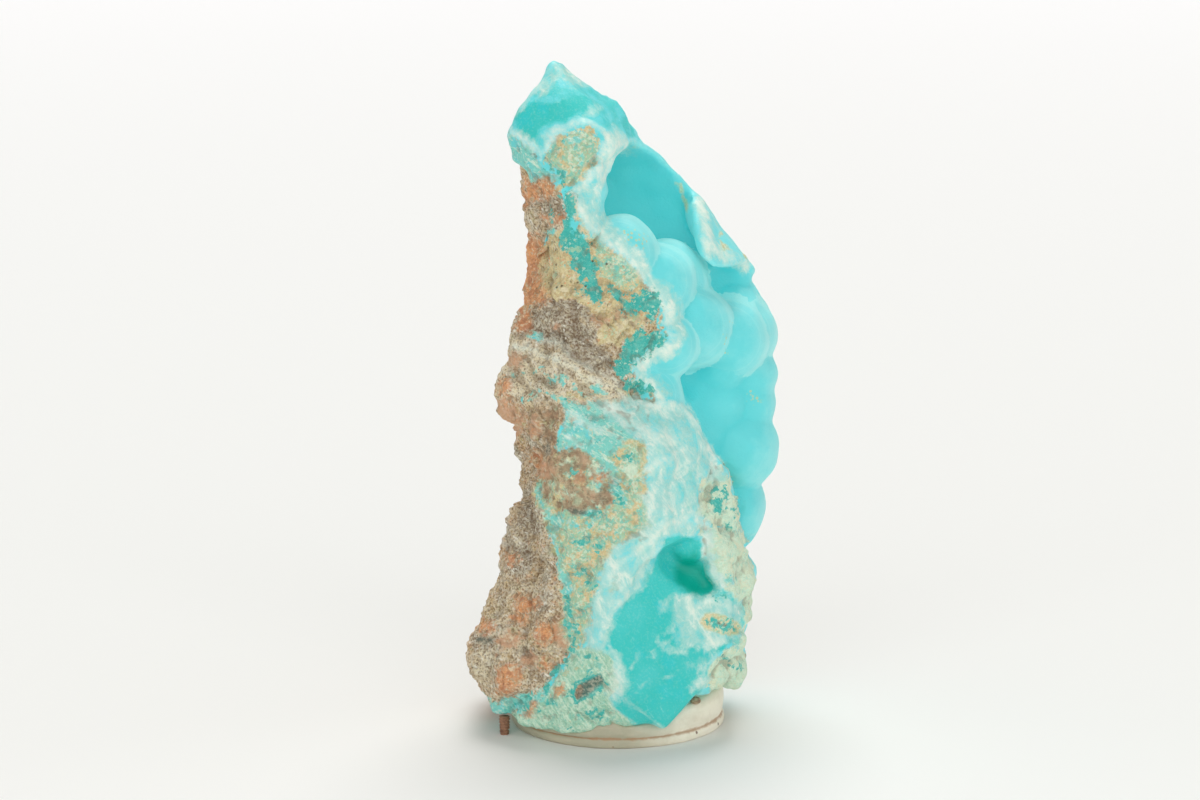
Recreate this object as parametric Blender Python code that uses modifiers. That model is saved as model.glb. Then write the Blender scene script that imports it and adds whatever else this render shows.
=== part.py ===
"""Upright hemimorphite specimen, pressed into a pad of mounting putty.

The stone is one fused solid: a slab of brown matrix whose right side carries a turquoise
botryoidal crust. Its broken front edge faces -Y. The pad stands on z = 0 with its centre at
the origin. A small ribbed peg props the overhanging lower left corner, and a tiny pebble is
pressed into the putty. Sizes below are in millimetres unless a name says otherwise.
"""
import math
import random

import bmesh
import bpy
import numpy as np
from mathutils import Matrix, Vector, noise
from mathutils.bvhtree import BVHTree

MM = 0.001
GAP = 0.35

PAD_RADIUS = 17.3
PAD_SEAM_HEIGHT = 1.45
PAD_SEAM_DEPTH = 0.4
PAD_TOP_LEFT = 2.6
PAD_TOP_RIGHT = 6.5
PAD_RINGS = 14
PAD_SEGMENTS = 52
PAD_PROBE = 0.8

STONE_FLOOR = 2.3
FUSE_VOXEL = 0.65
STONE_TRIANGLES = 7400
LUMP_SIZE = 5.6
LUMP_HEIGHT = 1.3
GRAIN_SIZE = 3.0
GRAIN_HEIGHT = 0.5
CRUST_CALM = 0.92
LEDGE_SIZE = 10.0
LEDGE_STEPS = 3.0
LEDGE_HEIGHT = 0.7
RIDGE_PITCH = 4.2
RIDGE_HEIGHT = 0.45
RIDGE_CENTRE = (-9.0, -9.0, 60.0)
RIDGE_REACH = 13.0
RIDGE_NORMAL = (0.50, 0.0, 0.86)

PEG_CENTRE = (-18.2, -9.0)
PEG_RADIUS = 0.95
PEG_HEIGHT = 3.0
PEG_RIBS = 5
PEG_STEPS = 14
PEG_SEAT_RADIUS = 2.6

PEBBLE_CENTRE = (12.3, -11.3, 6.3)
PEBBLE_RADII = (0.9, 0.75, 0.6)

# Broken blocks of the slab, each the convex hull of its corners (x, y, z).
MASSES = {
    "tip_block": [
        (-10, 0, 107.4), (-8.8, 3, 106.3), (-12, -3, 103.8), (-14, -4, 101.5), (-16.2, -4, 99.5), (-17.2, -3, 96),
        (-16.8, -2, 93), (-16, -2, 89.5), (-15, 0, 87.5), (-9, -6, 101.5), (-5.5, -9, 97), (-11.5, -9, 94),
        (-3, -6, 99.5), (-7.5, -10, 89.5), (-0.5, -8, 94), (-7.2, 1, 104), (-5.2, 1, 102.3), (-2.8, 2, 100.8),
        (0.6, 3, 99.8), (2.4, 3, 97.1), (3.6, 4, 93.6), (-11, 6, 103.5), (-15.5, 8, 97), (-15.5, 10, 88.5),
        (-3, 9, 98.5), (3.5, 12, 91.5), (-4.5, 13, 86.5),
    ],
    "neck_upper": [
        (-15, -3, 88.5), (-14.5, -3, 86), (-14, -2.5, 83), (-13, -2, 79), (-13, -2, 77.5), (-9, -9, 89),
        (-6.5, -10, 85.5), (-5, -10.5, 81), (-8, -10, 78), (-2.5, -8, 81), (-3, -8, 86), (-14, 10, 85.5),
        (-13, 11, 76), (-3, 15, 84.5), (-1.5, 17, 74.5),
    ],
    "neck_lower": [
        (-13, -2, 78.5), (-13.5, -2, 75.5), (-14, -2, 73), (-14.5, -2, 70.5), (-15.5, -2, 68.5), (-8, -10, 78.5),
        (-10, -10.5, 70.5), (-2.5, -9.5, 78.5), (2.5, -8, 76.5), (4.5, -7.5, 71.5), (8, -7, 67), (7.5, -7, 61.5),
        (3.5, -9, 60), (3, -9, 56), (-2.5, -12, 65.5), (-13, 11, 75.5), (-14, 13, 67), (0.5, 18, 66), (3.5, 8, 54.5),
    ],
    "rim": [
        (-3.5, -7, 91.5), (-2.5, -7, 92.5), (3.8, 4, 93.9), (5.9, 6, 92.3), (8.4, 7, 89.3), (10.9, 8, 86.3), (13.4, 8, 84.2),
        (14.9, 8, 81.4), (16.9, 8, 78.9), (19.4, 8, 76.3), (21.3, 9, 74.3), (22, 10, 71.4), (3.5, 14, 88), (12, 18, 78.5),
        (20.5, 19, 69), (-3, 16, 74.5), (-2, 14, 66.5), (3.5, 0, 69), (13, 2, 68.5), (-2.5, -6, 80.5),
    ],
    "body_top": [
        (21.5, 10, 71.5), (22.5, 10, 69), (24, 11, 67.5), (24.8, 12, 65), (25, 12, 62), (24.5, 12, 59), (13, 3, 70),
        (8, 0, 69), (11.5, -1, 53), (20.5, 19, 69), (23.5, 20, 57.5), (0.5, 18, 61), (-3, 16, 73),
    ],
    "crust_body": [
        (23, 12, 59.5), (23, 12, 50.5), (23.5, 12, 42), (22.5, 12, 37), (22, 12, 32), (20.5, 10, 28), (5, -4, 65),
        (10, -3, 53.5), (11.5, -3, 37), (13, -3, 29.5), (22.5, 20, 57), (22.5, 20, 40), (19, 19, 27),
        (0.5, 19, 61), (-4.5, 19, 40.5), (2, 17, 24),
    ],
    "left_bulge": [
        (-14, -2, 71), (-15, -2, 69), (-16, -2, 67), (-16.5, -2, 63.5), (-18, -2, 60.5), (-18.5, -2, 58),
        (-19.5, -2, 54), (-19, -2, 50.5), (-17.5, -2, 47.5), (-16, -1, 45), (-15, 0, 41.5), (-14, 1, 39),
        (-9, -10, 69), (-3, -11, 66), (3.5, -10, 60.5), (-9, -14, 58.5), (-3, -15, 53.5), (-10.5, -14, 48.5),
        (-3, -16, 43), (-14.5, 13, 63.5), (-17, 14, 52), (-13, 14, 37.5), (-3, 17, 61), (-3, 17, 37.5),
    ],
    "centre_block": [
        (-9, -15, 54.5), (-3, -14, 56), (3.5, -12, 55), (8.5, -9, 54.5), (11.5, -8, 52.5), (13.5, -8, 49.5),
        (14.5, -9, 46), (14, -10, 42), (13, -11, 38), (12.5, -12, 35.5), (0, -17, 50), (6.5, -16, 48),
        (3.5, -19, 42.5), (-3, -18, 40.5), (-9, -16, 43), (7, -18, 37.5), (-1.5, -19, 32.5), (-7.5, -17, 30.5),
        (-11, -13, 36), (-13.5, -10, 41.5), (13, -13, 34), (7.5, -16, 32.5), (3.5, -18, 31), (-9.5, 6, 48.5),
        (10, 6, 48.5), (13.5, 6, 35), (-3, 6, 26.5),
    ],
    "spur": [
        (14, -7, 48), (15, -7, 46.5), (16.5, -8, 44), (17, -8, 41.5), (18, -8, 38), (19, -8, 35), (19.5, -8, 32),
        (12.5, -11, 37.5), (12.5, -12, 36), (14.5, -12, 33.5), (18.5, -9, 31.5), (15, 2, 44), (19, 3, 35.5),
        (20.5, 3, 28.5), (13.5, 3, 31),
    ],
    "front_strip": [
        (-14, -9, 41.5), (-12.5, -12, 36), (-11, -13, 29.5), (-10.5, -14, 22), (-8.5, -15, 17), (-3, -18, 15.5),
        (-1, -19, 24.5), (3.5, -18, 31), (-3, -17, 40.5), (-9, -15, 42), (-12.5, 2, 36), (-9.5, 2, 26),
        (-8, 2, 12.5), (3.5, 4, 25.5), (-1.5, 4, 10.5),
    ],
    "right_lumps": [
        (13, -12, 36), (16, -12, 34.5), (19, -8, 31.5), (20, -6, 30), (21, -5, 27.5), (21.5, -5, 23), (21, -5, 19),
        (20.5, -5, 16), (20, -5, 13.5), (13, -10, 16), (15, -12.5, 29.5), (18.5, -12, 23), (16.5, -12.5, 16.5),
        (14, -11, 24.5), (21, 12, 23.5), (21.5, 12, 13.5), (20, 10, 8.5), (12, 8, 24.5), (12, 8, 9.5),
    ],
    "right_foot": [
        (20, -5, 13.5), (20.5, -5, 11), (20.5, -5, 9), (19.5, -6, 8), (17, -9, 8.2), (15, -12, 10), (16.5, -13, 16.5),
        (13, -12, 15), (20.5, 10, 8.5), (19.5, 9, 7), (13.5, 10, 6.5), (12, 8, 9.5),
    ],
    "blue_wedge": [
        (8.5, -10.5, 31.5), (5, -13.5, 30.5), (-1, -18, 24), (-4.5, -18.5, 17.5), (-2.5, -19, 16.5), (6.5, -19, 4),
        (7, -19, 3), (10, -17.5, 6), (12.5, -15.5, 8.5), (18, -12.5, 16.5), (15, -11, 24.5), (3.5, 5, 25.5),
        (-3, 5, 12), (3.5, 2, 3), (12, 6, 7.5),
    ],
    "rock_top": [
        (-15.5, 3, 38.5), (-17, 1, 36.5), (-18, 0, 32.5), (-19, -1, 29), (-19.5, -2, 24.5), (-19.5, -3, 22),
        (-12.5, -6, 34.5), (-13.5, -8, 28.5), (-11.5, -10, 22.5), (-15.5, -9.5, 22), (-14.5, 15, 34.5),
        (-17, 17, 22.5), (-18.5, 17, 17), (-3, 17, 32.5), (-3, 17, 15.5),
    ],
    "rock_foot": [
        (-19.5, -2, 24), (-21, -3, 21.5), (-22.5, -4, 18.5), (-23.2, -5, 16), (-24.2, -5, 14), (-24.6, -5, 11),
        (-23, -6, 7.5), (-22, -6, 5), (-20.5, -7, 3.3), (-19, -8, 3), (-15.5, -8, 23), (-11.5, -10, 22.5),
        (-15.5, -11.5, 19), (-19, -12, 14.5), (-12.5, -14, 13.5), (-16, -13.5, 8.5), (-8.5, -13.5, 17),
        (-18.5, 17, 17), (-21.5, 15, 9), (-19, 11, 3.5), (-3, 17, 15.5), (-3, 13, 3),
    ],
    "green_foot": [
        (-10.5, -13, 21.5), (-8, -15, 17), (-3, -18.5, 15.5), (3.5, -18.5, 8.5), (6, -18, 4.5), (3, -16, 3.5),
        (-2, -17, 3.5), (-7.5, -16, 2.5), (-12, -14, 2.5), (-17, -12, 2.8), (-19, -9, 3.2), (-12.5, -15.5, 9),
        (-6, -17.5, 10), (-11, -12, 29.5), (-16, 10, 4), (-3, 10, 3), (5.5, 8, 3), (-9.5, 6, 18.5),
    ],
    "back_crown": [
        (-7, 5, 97), (1, 7, 94.5), (3.5, 12, 91), (-4, 15, 87), (8, 15.5, 84), (-9, 12, 90), (3, 16.5, 76),
        (-3, 8, 90), (8, 11, 86), (-8, 15, 78),
    ],
    "back_upper": [
        (-15.2, 8, 91), (-13.4, 9, 83), (-12.8, 10, 76), (-13.4, 2, 72), (-14.3, 2, 66), (-14.5, 13.5, 62),
        (-4, 14.5, 90), (6, 16.5, 83), (12, 18.5, 72), (-2, 18, 62), (10, 19.5, 60), (-6, 16.5, 76), (-13.2, 1, 83),
        (-14.9, 0, 90), (2, 6, 62), (-4, 4, 88),
    ],
    "back_lower": [
        (-13.5, 14.5, 64), (6, 19.6, 66), (16, 20, 60), (18, 20, 44), (12, 20.5, 28), (-4, 18.4, 28), (-14.6, 14, 30),
        (-14.8, 2, 44), (-13.3, -1.5, 41.5), (-13.8, -1, 37), (-15.5, 9, 36), (-16.8, 14.6, 50), (-4, 19.5, 46),
        (4, 8, 30), (4, 8, 62),
    ],
    "back_foot": [
        (-14, 17, 30), (2, 19, 32), (16, 18.5, 30), (20.5, 14, 29), (20.8, 14, 20), (19.5, 13, 9.5), (15, 15, 8),
        (0, 16.5, 6), (-15, 15, 10), (0, 8, 18), (19.5, 4, 27), (19.5, 4, 12),
    ],
}

# Blocks left standing over the hollow: the broken knob at the end of its rim.
RIM_MASSES = {
    "knob": [
        (11.6, 6, 85.4), (12.2, 1.5, 81), (13.5, -1.5, 76), (15, -1.5, 74.5), (19, 2, 74), (21.3, 5, 74.6),
        (18.8, 6, 76.6), (14.6, 6, 81.8), (13.2, 12, 83.2), (20.2, 14, 72.6), (10.6, 12, 82), (14, 12, 78),
    ],
}

# Ellipsoids that scoop the hollow under the tip and the cavity above the wedge:
# centre, half sizes, and the turn about Y in degrees.
HOLLOWS = [
    ((7.2, 0.0, 82.6), (15.5, 9.0, 9.2), 33),
    ((18.5, 0.5, 70.5), (5.5, 8.0, 4.2), 20),
    ((11.2, -13.5, 28.6), (5.4, 6.0, 3.4), 25),
    ((13.6, -14.0, 25.6), (2.6, 6.0, 2.6), 0),
    ((12.4, -1.4, 56.8), (3.2, 3.4, 4.4), 0),
]

# Botryoidal lobes (x, y, z, radius).
FRONT_LOBES = [
    (0, -4, 77, 6), (6, -1.5, 72, 6), (7.5, 3, 71.5, 6.5), (11.5, 1.5, 64.5, 6.5), (17.5, 6, 61.5, 6.5),
    (5.5, -4, 68.5, 4.5), (7.5, -4, 62.5, 5), (5, -5, 54.5, 5), (19.3, 9, 62, 6), (19.6, 9, 55.5, 5.5),
    (19.6, 9, 50.5, 5.5), (18.6, 8, 43.5, 7.1), (17.8, 8, 33.5, 6.1), (15.8, 4.3, 61.3, 4.5), (16.2, 5, 57, 4.2),
    (9, 6, 46.5, 9), (9.6, 6.6, 38, 9), (15, 6.5, 51, 6), (14.5, 5.5, 31.5, 6),
]
CAVITY_LOBES = [(11.3, -9.8, 31.4, 3.0), (15.6, -10.2, 27.2, 2.0), (15.8, -10.6, 30.2, 2.2)]

# Rock lumps and rings that stand out of the broken faces (x, y, z, radius).
ROCK_LUMPS = [
    (-3.5, -15.2, 44.5, 2.6), (2, -15.7, 45.5, 2.3), (1, -15.7, 48.8, 1.9), (-5.5, -15.8, 38.5, 2.2),
    (-8.5, -13.5, 44.5, 2.5), (-11.4, -9.8, 51.7, 2.3), (-10.6, -10.3, 55.2, 2.6), (16.9, -8.8, 29.8, 2.6),
    (19, -6.7, 24.8, 2.4), (18.4, -6.7, 19.3, 2.8), (16.8, -7.8, 11.6, 3.1), (16, -10.6, 19.5, 2.4),
    (-17.6, -8.2, 16.8, 3.2), (-14.5, -8.7, 20.7, 2.6), (-11.6, -12.7, 17, 2.6), (-20.2, -6.8, 11.5, 3),
    (-16, -11.4, 10.2, 3.5), (-15.6, -1.7, 31.6, 2.7), (-13.3, -6.7, 27, 2.4), (-14.6, -3.7, 61.2, 2.8),
    (-15.6, -3.4, 56, 2.8), (-8.2, -8.2, 65.6, 3), (-7, -14.3, 30.5, 2.3), (-5, -15.7, 24.5, 2.3),
    (-6.6, -6.4, 93.8, 4),
]

# Flat broken faces of solid turquoise, where the rock's relief dies away (x, y, z, radius).
FLAT_SPOTS = [(-8, -5, 100, 9), (6, -18, 16, 11), (7, -18.5, 6, 6), (0, -18, 20, 6)]
SIDE_LOBE_ROWS = (30, 35.5, 41.5, 47, 53, 59, 65)
SIDE_LOBE_COLUMNS = (9.5, 14.0, 18.0)
SIDE_LOBE_REACH = 23.2
SIDE_LOBE_RADII = (3.4, 5.6)


def to_metres(point):
    """Vector in metres of a point in millimetres."""
    return Vector(point) * MM


def clear_scene():
    """Remove every object."""
    for obj in list(bpy.data.objects):
        bpy.data.objects.remove(obj, do_unlink=True)


def make_collection(name):
    """New collection linked to the scene."""
    collection = bpy.data.collections.new(name)
    bpy.context.scene.collection.children.link(collection)
    return collection


def make_material(name, color, roughness):
    """Principled material of one colour."""
    material = bpy.data.materials.new(name)
    material.use_nodes = True
    shader = material.node_tree.nodes["Principled BSDF"]
    shader.inputs["Base Color"].default_value = (*color, 1.0)
    shader.inputs["Roughness"].default_value = roughness
    shader.inputs["Metallic"].default_value = 0.0
    material.diffuse_color = (*color, 1.0)
    return material


def add_object(name, mesh, collection, material=None):
    """Object of a mesh, in a collection, with a material."""
    obj = bpy.data.objects.new(name, mesh)
    collection.objects.link(obj)
    if material is not None:
        mesh.materials.append(material)
    return obj


def mesh_from_bmesh(name, bm):
    """Mesh of a bmesh, which is freed."""
    mesh = bpy.data.meshes.new(name)
    bm.to_mesh(mesh)
    bm.free()
    return mesh


def evaluated_mesh(obj, name):
    """Mesh of an object with its modifiers, after which the object is removed."""
    graph = bpy.context.evaluated_depsgraph_get()
    mesh = bpy.data.meshes.new_from_object(obj.evaluated_get(graph))
    mesh.name = name
    bpy.data.objects.remove(obj, do_unlink=True)
    return mesh


def add_hull(bm, points):
    """Add the convex hull of some corners to a bmesh."""
    verts = [bm.verts.new(to_metres(point)) for point in points]
    hull = bmesh.ops.convex_hull(bm, input=verts)
    inner = [item for item in hull["geom_interior"] if isinstance(item, bmesh.types.BMVert)]
    bmesh.ops.delete(bm, geom=inner, context="VERTS")


def add_ball(bm, centre, radii, turn=0.0):
    """Add an ellipsoid to a bmesh, turned about Y by some degrees."""
    shape = Matrix.Diagonal((*[radius * MM for radius in radii], 1.0))
    place = Matrix.Translation(to_metres(centre)) @ Matrix.Rotation(math.radians(turn), 4, "Y") @ shape
    bmesh.ops.create_icosphere(bm, subdivisions=4, radius=1.0, matrix=place)


def fuse(name, bm, collection):
    """Fuse overlapping closed shells into one skin of even cells."""
    obj = add_object(name, mesh_from_bmesh(name, bm), collection)
    remesh = obj.modifiers.new("fuse", "REMESH")
    remesh.mode = "VOXEL"
    remesh.voxel_size = FUSE_VOXEL * MM
    return evaluated_mesh(obj, name)


def carve(mesh, cutter_mesh, collection, cutters):
    """Subtract a cutter from a mesh."""
    obj = add_object("carved", mesh, collection)
    cutter = add_object("hollow_cutter", cutter_mesh, cutters)
    cutter.hide_render = True
    cutter.display_type = "WIRE"
    cut = obj.modifiers.new("hollow", "BOOLEAN")
    cut.operation = "DIFFERENCE"
    cut.solver = "EXACT"
    cut.object = cutter
    return evaluated_mesh(obj, "carved")


def side_lobes():
    """Lobes that carry the crust round the unseen right side, in staggered rows."""
    rng = random.Random(5)
    lobes = []
    for row, z in enumerate(SIDE_LOBE_ROWS):
        for y in SIDE_LOBE_COLUMNS:
            radius = rng.uniform(*SIDE_LOBE_RADII)
            reach = SIDE_LOBE_REACH - (1.2 if z < 40 else 0.0) - 0.12 * abs(y - 12.0)
            side = 1.1 if row % 2 else -1.1
            place = (reach - radius, y + side + rng.uniform(-0.9, 0.9), z + rng.uniform(-1.6, 1.6), radius)
            lobes.append(place)
    return lobes


def smooth_shares(points, lobes):
    """For each point, 1 on the crust, in the hollows and on the flat faces, and 0 on bare rock."""
    nearest = np.full(len(points), np.inf)
    for x, y, z, radius in lobes:
        nearest = np.minimum(nearest, abs(np.linalg.norm(points - (x, y, z), axis=1) - radius))
    for x, y, z, radius in FLAT_SPOTS:
        nearest = np.minimum(nearest, np.linalg.norm(points - (x, y, z), axis=1) - radius)
    for centre, radii, turn in HOLLOWS:
        local = (points - centre) @ np.array(Matrix.Rotation(math.radians(turn), 3, "Y"))
        reach = np.linalg.norm(local / radii, axis=1)
        nearest = np.minimum(nearest, abs(reach - 1.0) * min(radii))
    return np.clip(1.6 - nearest, 0.0, 1.0)


def rock_height(point):
    """Height of the broken rock's ledges, ridges, lumps and grain over its blocks, in millimetres."""
    lumps = noise.voronoi(point / LUMP_SIZE)[0][0]
    grain = noise.fractal(point / GRAIN_SIZE, 0.9, 2.1, 3)
    level = noise.noise(point / LEDGE_SIZE) * LEDGE_STEPS
    step = math.floor(level) + min(1.0, 3.0 * (level - math.floor(level)))
    bend = 0.9 * noise.noise(point / LUMP_SIZE)
    wave = math.sin(math.tau * (point.dot(Vector(RIDGE_NORMAL)) / RIDGE_PITCH + bend))
    ridged = max(0.0, 1.0 - (point - Vector(RIDGE_CENTRE)).length / RIDGE_REACH)
    height = LUMP_HEIGHT * (0.42 - lumps) + GRAIN_HEIGHT * grain
    return height + LEDGE_HEIGHT * step / LEDGE_STEPS + RIDGE_HEIGHT * wave * min(1.0, 2.0 * ridged)


def roughen(mesh, lobes):
    """Raise lumps and grain on the bare rock and keep the stone over its floor."""
    normals = [vert.normal.copy() for vert in mesh.vertices]
    points = np.array([vert.co for vert in mesh.vertices]) / MM
    bare_shares = 1.0 - CRUST_CALM * smooth_shares(points, lobes)
    for vert, normal, bare in zip(mesh.vertices, normals, bare_shares):
        point = vert.co / MM
        point = point + normal * (float(bare) * rock_height(point))
        if math.hypot(point.x - PEG_CENTRE[0], point.y - PEG_CENTRE[1]) < PEG_SEAT_RADIUS:
            point.z = max(point.z, PEG_HEIGHT + GAP)
        point.z = max(point.z, STONE_FLOOR)
        vert.co = point * MM


def build_stone(collection, cutters, material):
    """The specimen: hulls fused, hollows scooped, lobes added, grain raised, then thinned."""
    bm = bmesh.new()
    for points in MASSES.values():
        add_hull(bm, points)
    block = fuse("block", bm, collection)
    bm = bmesh.new()
    for centre, radii, turn in HOLLOWS:
        add_ball(bm, centre, radii, turn)
    hollow = fuse("hollow_cutter", bm, collection)
    carved = carve(block, hollow, collection, cutters)
    lobes = FRONT_LOBES + CAVITY_LOBES + side_lobes()
    bm = bmesh.new()
    bm.from_mesh(carved)
    for points in RIM_MASSES.values():
        add_hull(bm, points)
    for x, y, z, radius in lobes + ROCK_LUMPS:
        add_ball(bm, (x, y, z), (radius, radius, radius))
    mesh = fuse("hemimorphite", bm, collection)
    roughen(mesh, lobes)
    stone = add_object("hemimorphite", mesh, collection, material)
    thin = stone.modifiers.new("thin", "DECIMATE")
    thin.ratio = min(1.0, STONE_TRIANGLES / (2.0 * len(mesh.polygons)))
    return add_object("hemimorphite", evaluated_mesh(stone, "hemimorphite"), collection)


def turn_profile(name, profile, steps, collection):
    """Closed turned mesh of a profile (radius, height) that runs down its outer side."""
    bm = bmesh.new()
    verts = [bm.verts.new(to_metres((radius, 0.0, height))) for radius, height in profile]
    for first, second in zip(verts, verts[1:]):
        bm.edges.new((first, second))
    obj = add_object(name, mesh_from_bmesh(name, bm), collection)
    screw = obj.modifiers.new("turn", "SCREW")
    screw.axis = "Z"
    screw.angle = math.tau
    screw.steps = steps
    screw.render_steps = steps
    screw.use_merge_vertices = True
    screw.merge_threshold = 0.00005
    return evaluated_mesh(obj, name)


def placed_tree(obj):
    """Search tree of a mesh object where it stands."""
    bm = bmesh.new()
    bm.from_mesh(obj.data)
    bm.transform(Matrix.Translation(obj.location))
    tree = BVHTree.FromBMesh(bm)
    bm.free()
    return tree


def underside(trees, x, y):
    """Lowest height of the solids above a spot of the pad, in millimetres."""
    lowest = math.inf
    for step in range(9):
        reach = 0.0 if step == 8 else PAD_PROBE
        spot = (x + reach * math.cos(step * math.tau / 8), y + reach * math.sin(step * math.tau / 8), -1.0)
        for tree in trees:
            hit = tree.ray_cast(to_metres(spot), Vector((0, 0, 1)))[0]
            if hit is not None:
                lowest = min(lowest, hit.z / MM)
    return lowest


def build_pad(collection, material, resting):
    """The putty: a flat disc with a seam, and a softer pad on it that the stone has pressed down."""
    seam = PAD_SEAM_HEIGHT
    inner = PAD_RADIUS - 0.55
    profile = [(inner * ring / PAD_RINGS, 3.0) for ring in range(PAD_RINGS + 1)]
    profile += [(PAD_RADIUS - 0.2, 2.75), (PAD_RADIUS - 0.1, 2.2), (PAD_RADIUS - PAD_SEAM_DEPTH, seam)]
    profile += [(PAD_RADIUS, seam - 0.35), (PAD_RADIUS, 0.35), (PAD_RADIUS - 0.3, 0.0), (0.0, 0.0)]
    mesh = turn_profile("putty_base", profile, PAD_SEGMENTS, collection)
    trees = [placed_tree(obj) for obj in resting]
    for vert in mesh.vertices:
        x, y, z = vert.co / MM
        wobble = 1.0 + 0.012 * noise.noise(Vector((x, y, 0.0)) / 9.0)
        if z > seam + 0.1:
            slope = (x + PAD_RADIUS) / (2 * PAD_RADIUS)
            top = PAD_TOP_LEFT + (PAD_TOP_RIGHT - PAD_TOP_LEFT) * slope
            top += 0.25 * noise.noise(Vector((x, y, 5.0)) / 4.0)
            top = min(top, underside(trees, x, y) - GAP)
            z = seam + (z - seam) / (3.0 - seam) * (top - seam)
        if math.hypot(x, y) > inner:
            x, y = x * wobble, y * wobble
        vert.co = to_metres((x, y, z))
    return add_object("putty_base", mesh, collection, material)


def build_peg(collection, material):
    """The ribbed peg under the lower left corner, a little slimmer below."""
    profile = [(0.0, PEG_HEIGHT), (PEG_RADIUS * 0.9, PEG_HEIGHT)]
    rib = (PEG_HEIGHT - 0.3) / PEG_RIBS
    for index in range(PEG_RIBS):
        top = PEG_HEIGHT - 0.1 - index * rib
        radius = PEG_RADIUS * (1.0 - 0.22 * index / PEG_RIBS)
        profile += [(radius, top - 0.3 * rib), (radius * 0.84, top - 0.85 * rib)]
    profile += [(PEG_RADIUS * 0.8, 0.0), (0.0, 0.0)]
    mesh = turn_profile("prop_peg", profile, PEG_STEPS, collection)
    peg = add_object("prop_peg", mesh, collection, material)
    peg.location = to_metres((*PEG_CENTRE, 0.0))
    return peg


def build_pebble(collection, material):
    """The tiny loose pebble."""
    bm = bmesh.new()
    bmesh.ops.create_icosphere(bm, subdivisions=2, radius=1.0)
    for vert in bm.verts:
        bulge = 1.0 + 0.12 * noise.noise(vert.co * 1.3)
        vert.co = Vector([vert.co[i] * bulge * PEBBLE_RADII[i] * MM for i in range(3)])
    pebble = add_object("grit_pebble", mesh_from_bmesh("grit_pebble", bm), collection, material)
    pebble.location = to_metres(PEBBLE_CENTRE)
    return pebble


def main():
    """Build the specimen and what it stands on."""
    clear_scene()
    parts = make_collection("hemimorphite_specimen")
    cutters = make_collection("cutters")
    stone = build_stone(parts, cutters, make_material("turquoise_stone", (0.11, 0.60, 0.60), 0.55))
    pebble = build_pebble(parts, make_material("grit", (0.47, 0.36, 0.25), 0.7))
    build_peg(parts, make_material("brown_peg", (0.31, 0.11, 0.05), 0.6))
    build_pad(parts, make_material("putty", (0.70, 0.64, 0.51), 0.75), [stone, pebble])
    for obj in parts.objects:
        obj.data.shade_smooth()


main()
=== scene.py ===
"""Looks of an upright hemimorphite specimen that stands in a pad of mounting putty.

The stone is a slab of brown matrix with a turquoise botryoidal crust, seen from its broken
front edge, which faces -Y. Sizes are in millimetres unless a name says otherwise. Mineral
zones of the broken face are outlined in the units of the front view, 1200 wide and 800 high.
"""
import logging
import math
import random
from dataclasses import dataclass, field
from enum import Enum

import bmesh
import bpy
import numpy as np
from mathutils import Matrix, Vector, noise
from mathutils.bvhtree import BVHTree


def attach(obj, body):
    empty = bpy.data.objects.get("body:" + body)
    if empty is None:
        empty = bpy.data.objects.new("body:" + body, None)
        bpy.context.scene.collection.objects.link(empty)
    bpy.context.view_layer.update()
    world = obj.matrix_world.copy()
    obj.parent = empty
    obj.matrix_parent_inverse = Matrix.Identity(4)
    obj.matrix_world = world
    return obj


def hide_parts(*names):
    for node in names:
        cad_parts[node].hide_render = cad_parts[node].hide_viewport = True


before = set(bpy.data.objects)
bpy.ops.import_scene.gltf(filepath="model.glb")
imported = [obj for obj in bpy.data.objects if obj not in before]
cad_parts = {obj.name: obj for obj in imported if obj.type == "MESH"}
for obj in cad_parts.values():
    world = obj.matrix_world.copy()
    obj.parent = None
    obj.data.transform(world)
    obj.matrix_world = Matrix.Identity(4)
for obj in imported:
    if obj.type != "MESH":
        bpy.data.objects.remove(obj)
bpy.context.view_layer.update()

MM = 0.001
LOG = logging.getLogger("hemimorphite")

Point = tuple[float, float, float]
Colour = tuple[int, int, int]
Outline = tuple[tuple[float, float], ...]


class Mineral(Enum):
    """What a zone of the stone's surface is made of, named as its attribute on the mesh."""

    ROCK = "rock"
    TAN = "tan"
    TEAL = "teal"
    OLIVE = "olive"
    PINK = "pink"
    WHITE = "white"
    GREY = "grey"
    RUST = "rust"
    BROWN = "brown"
    SPECKLE = "speckle"
    MINT = "mint"
    AQUA = "aqua"
    MILK = "milk"
    PALE = "pale"
    RING = "ring"
    CORE = "core"
    GLASS = "glass"
    FACE = "face"
    DEEP = "deep"
    FLECK = "fleck"
    DARK = "dark"


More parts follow.
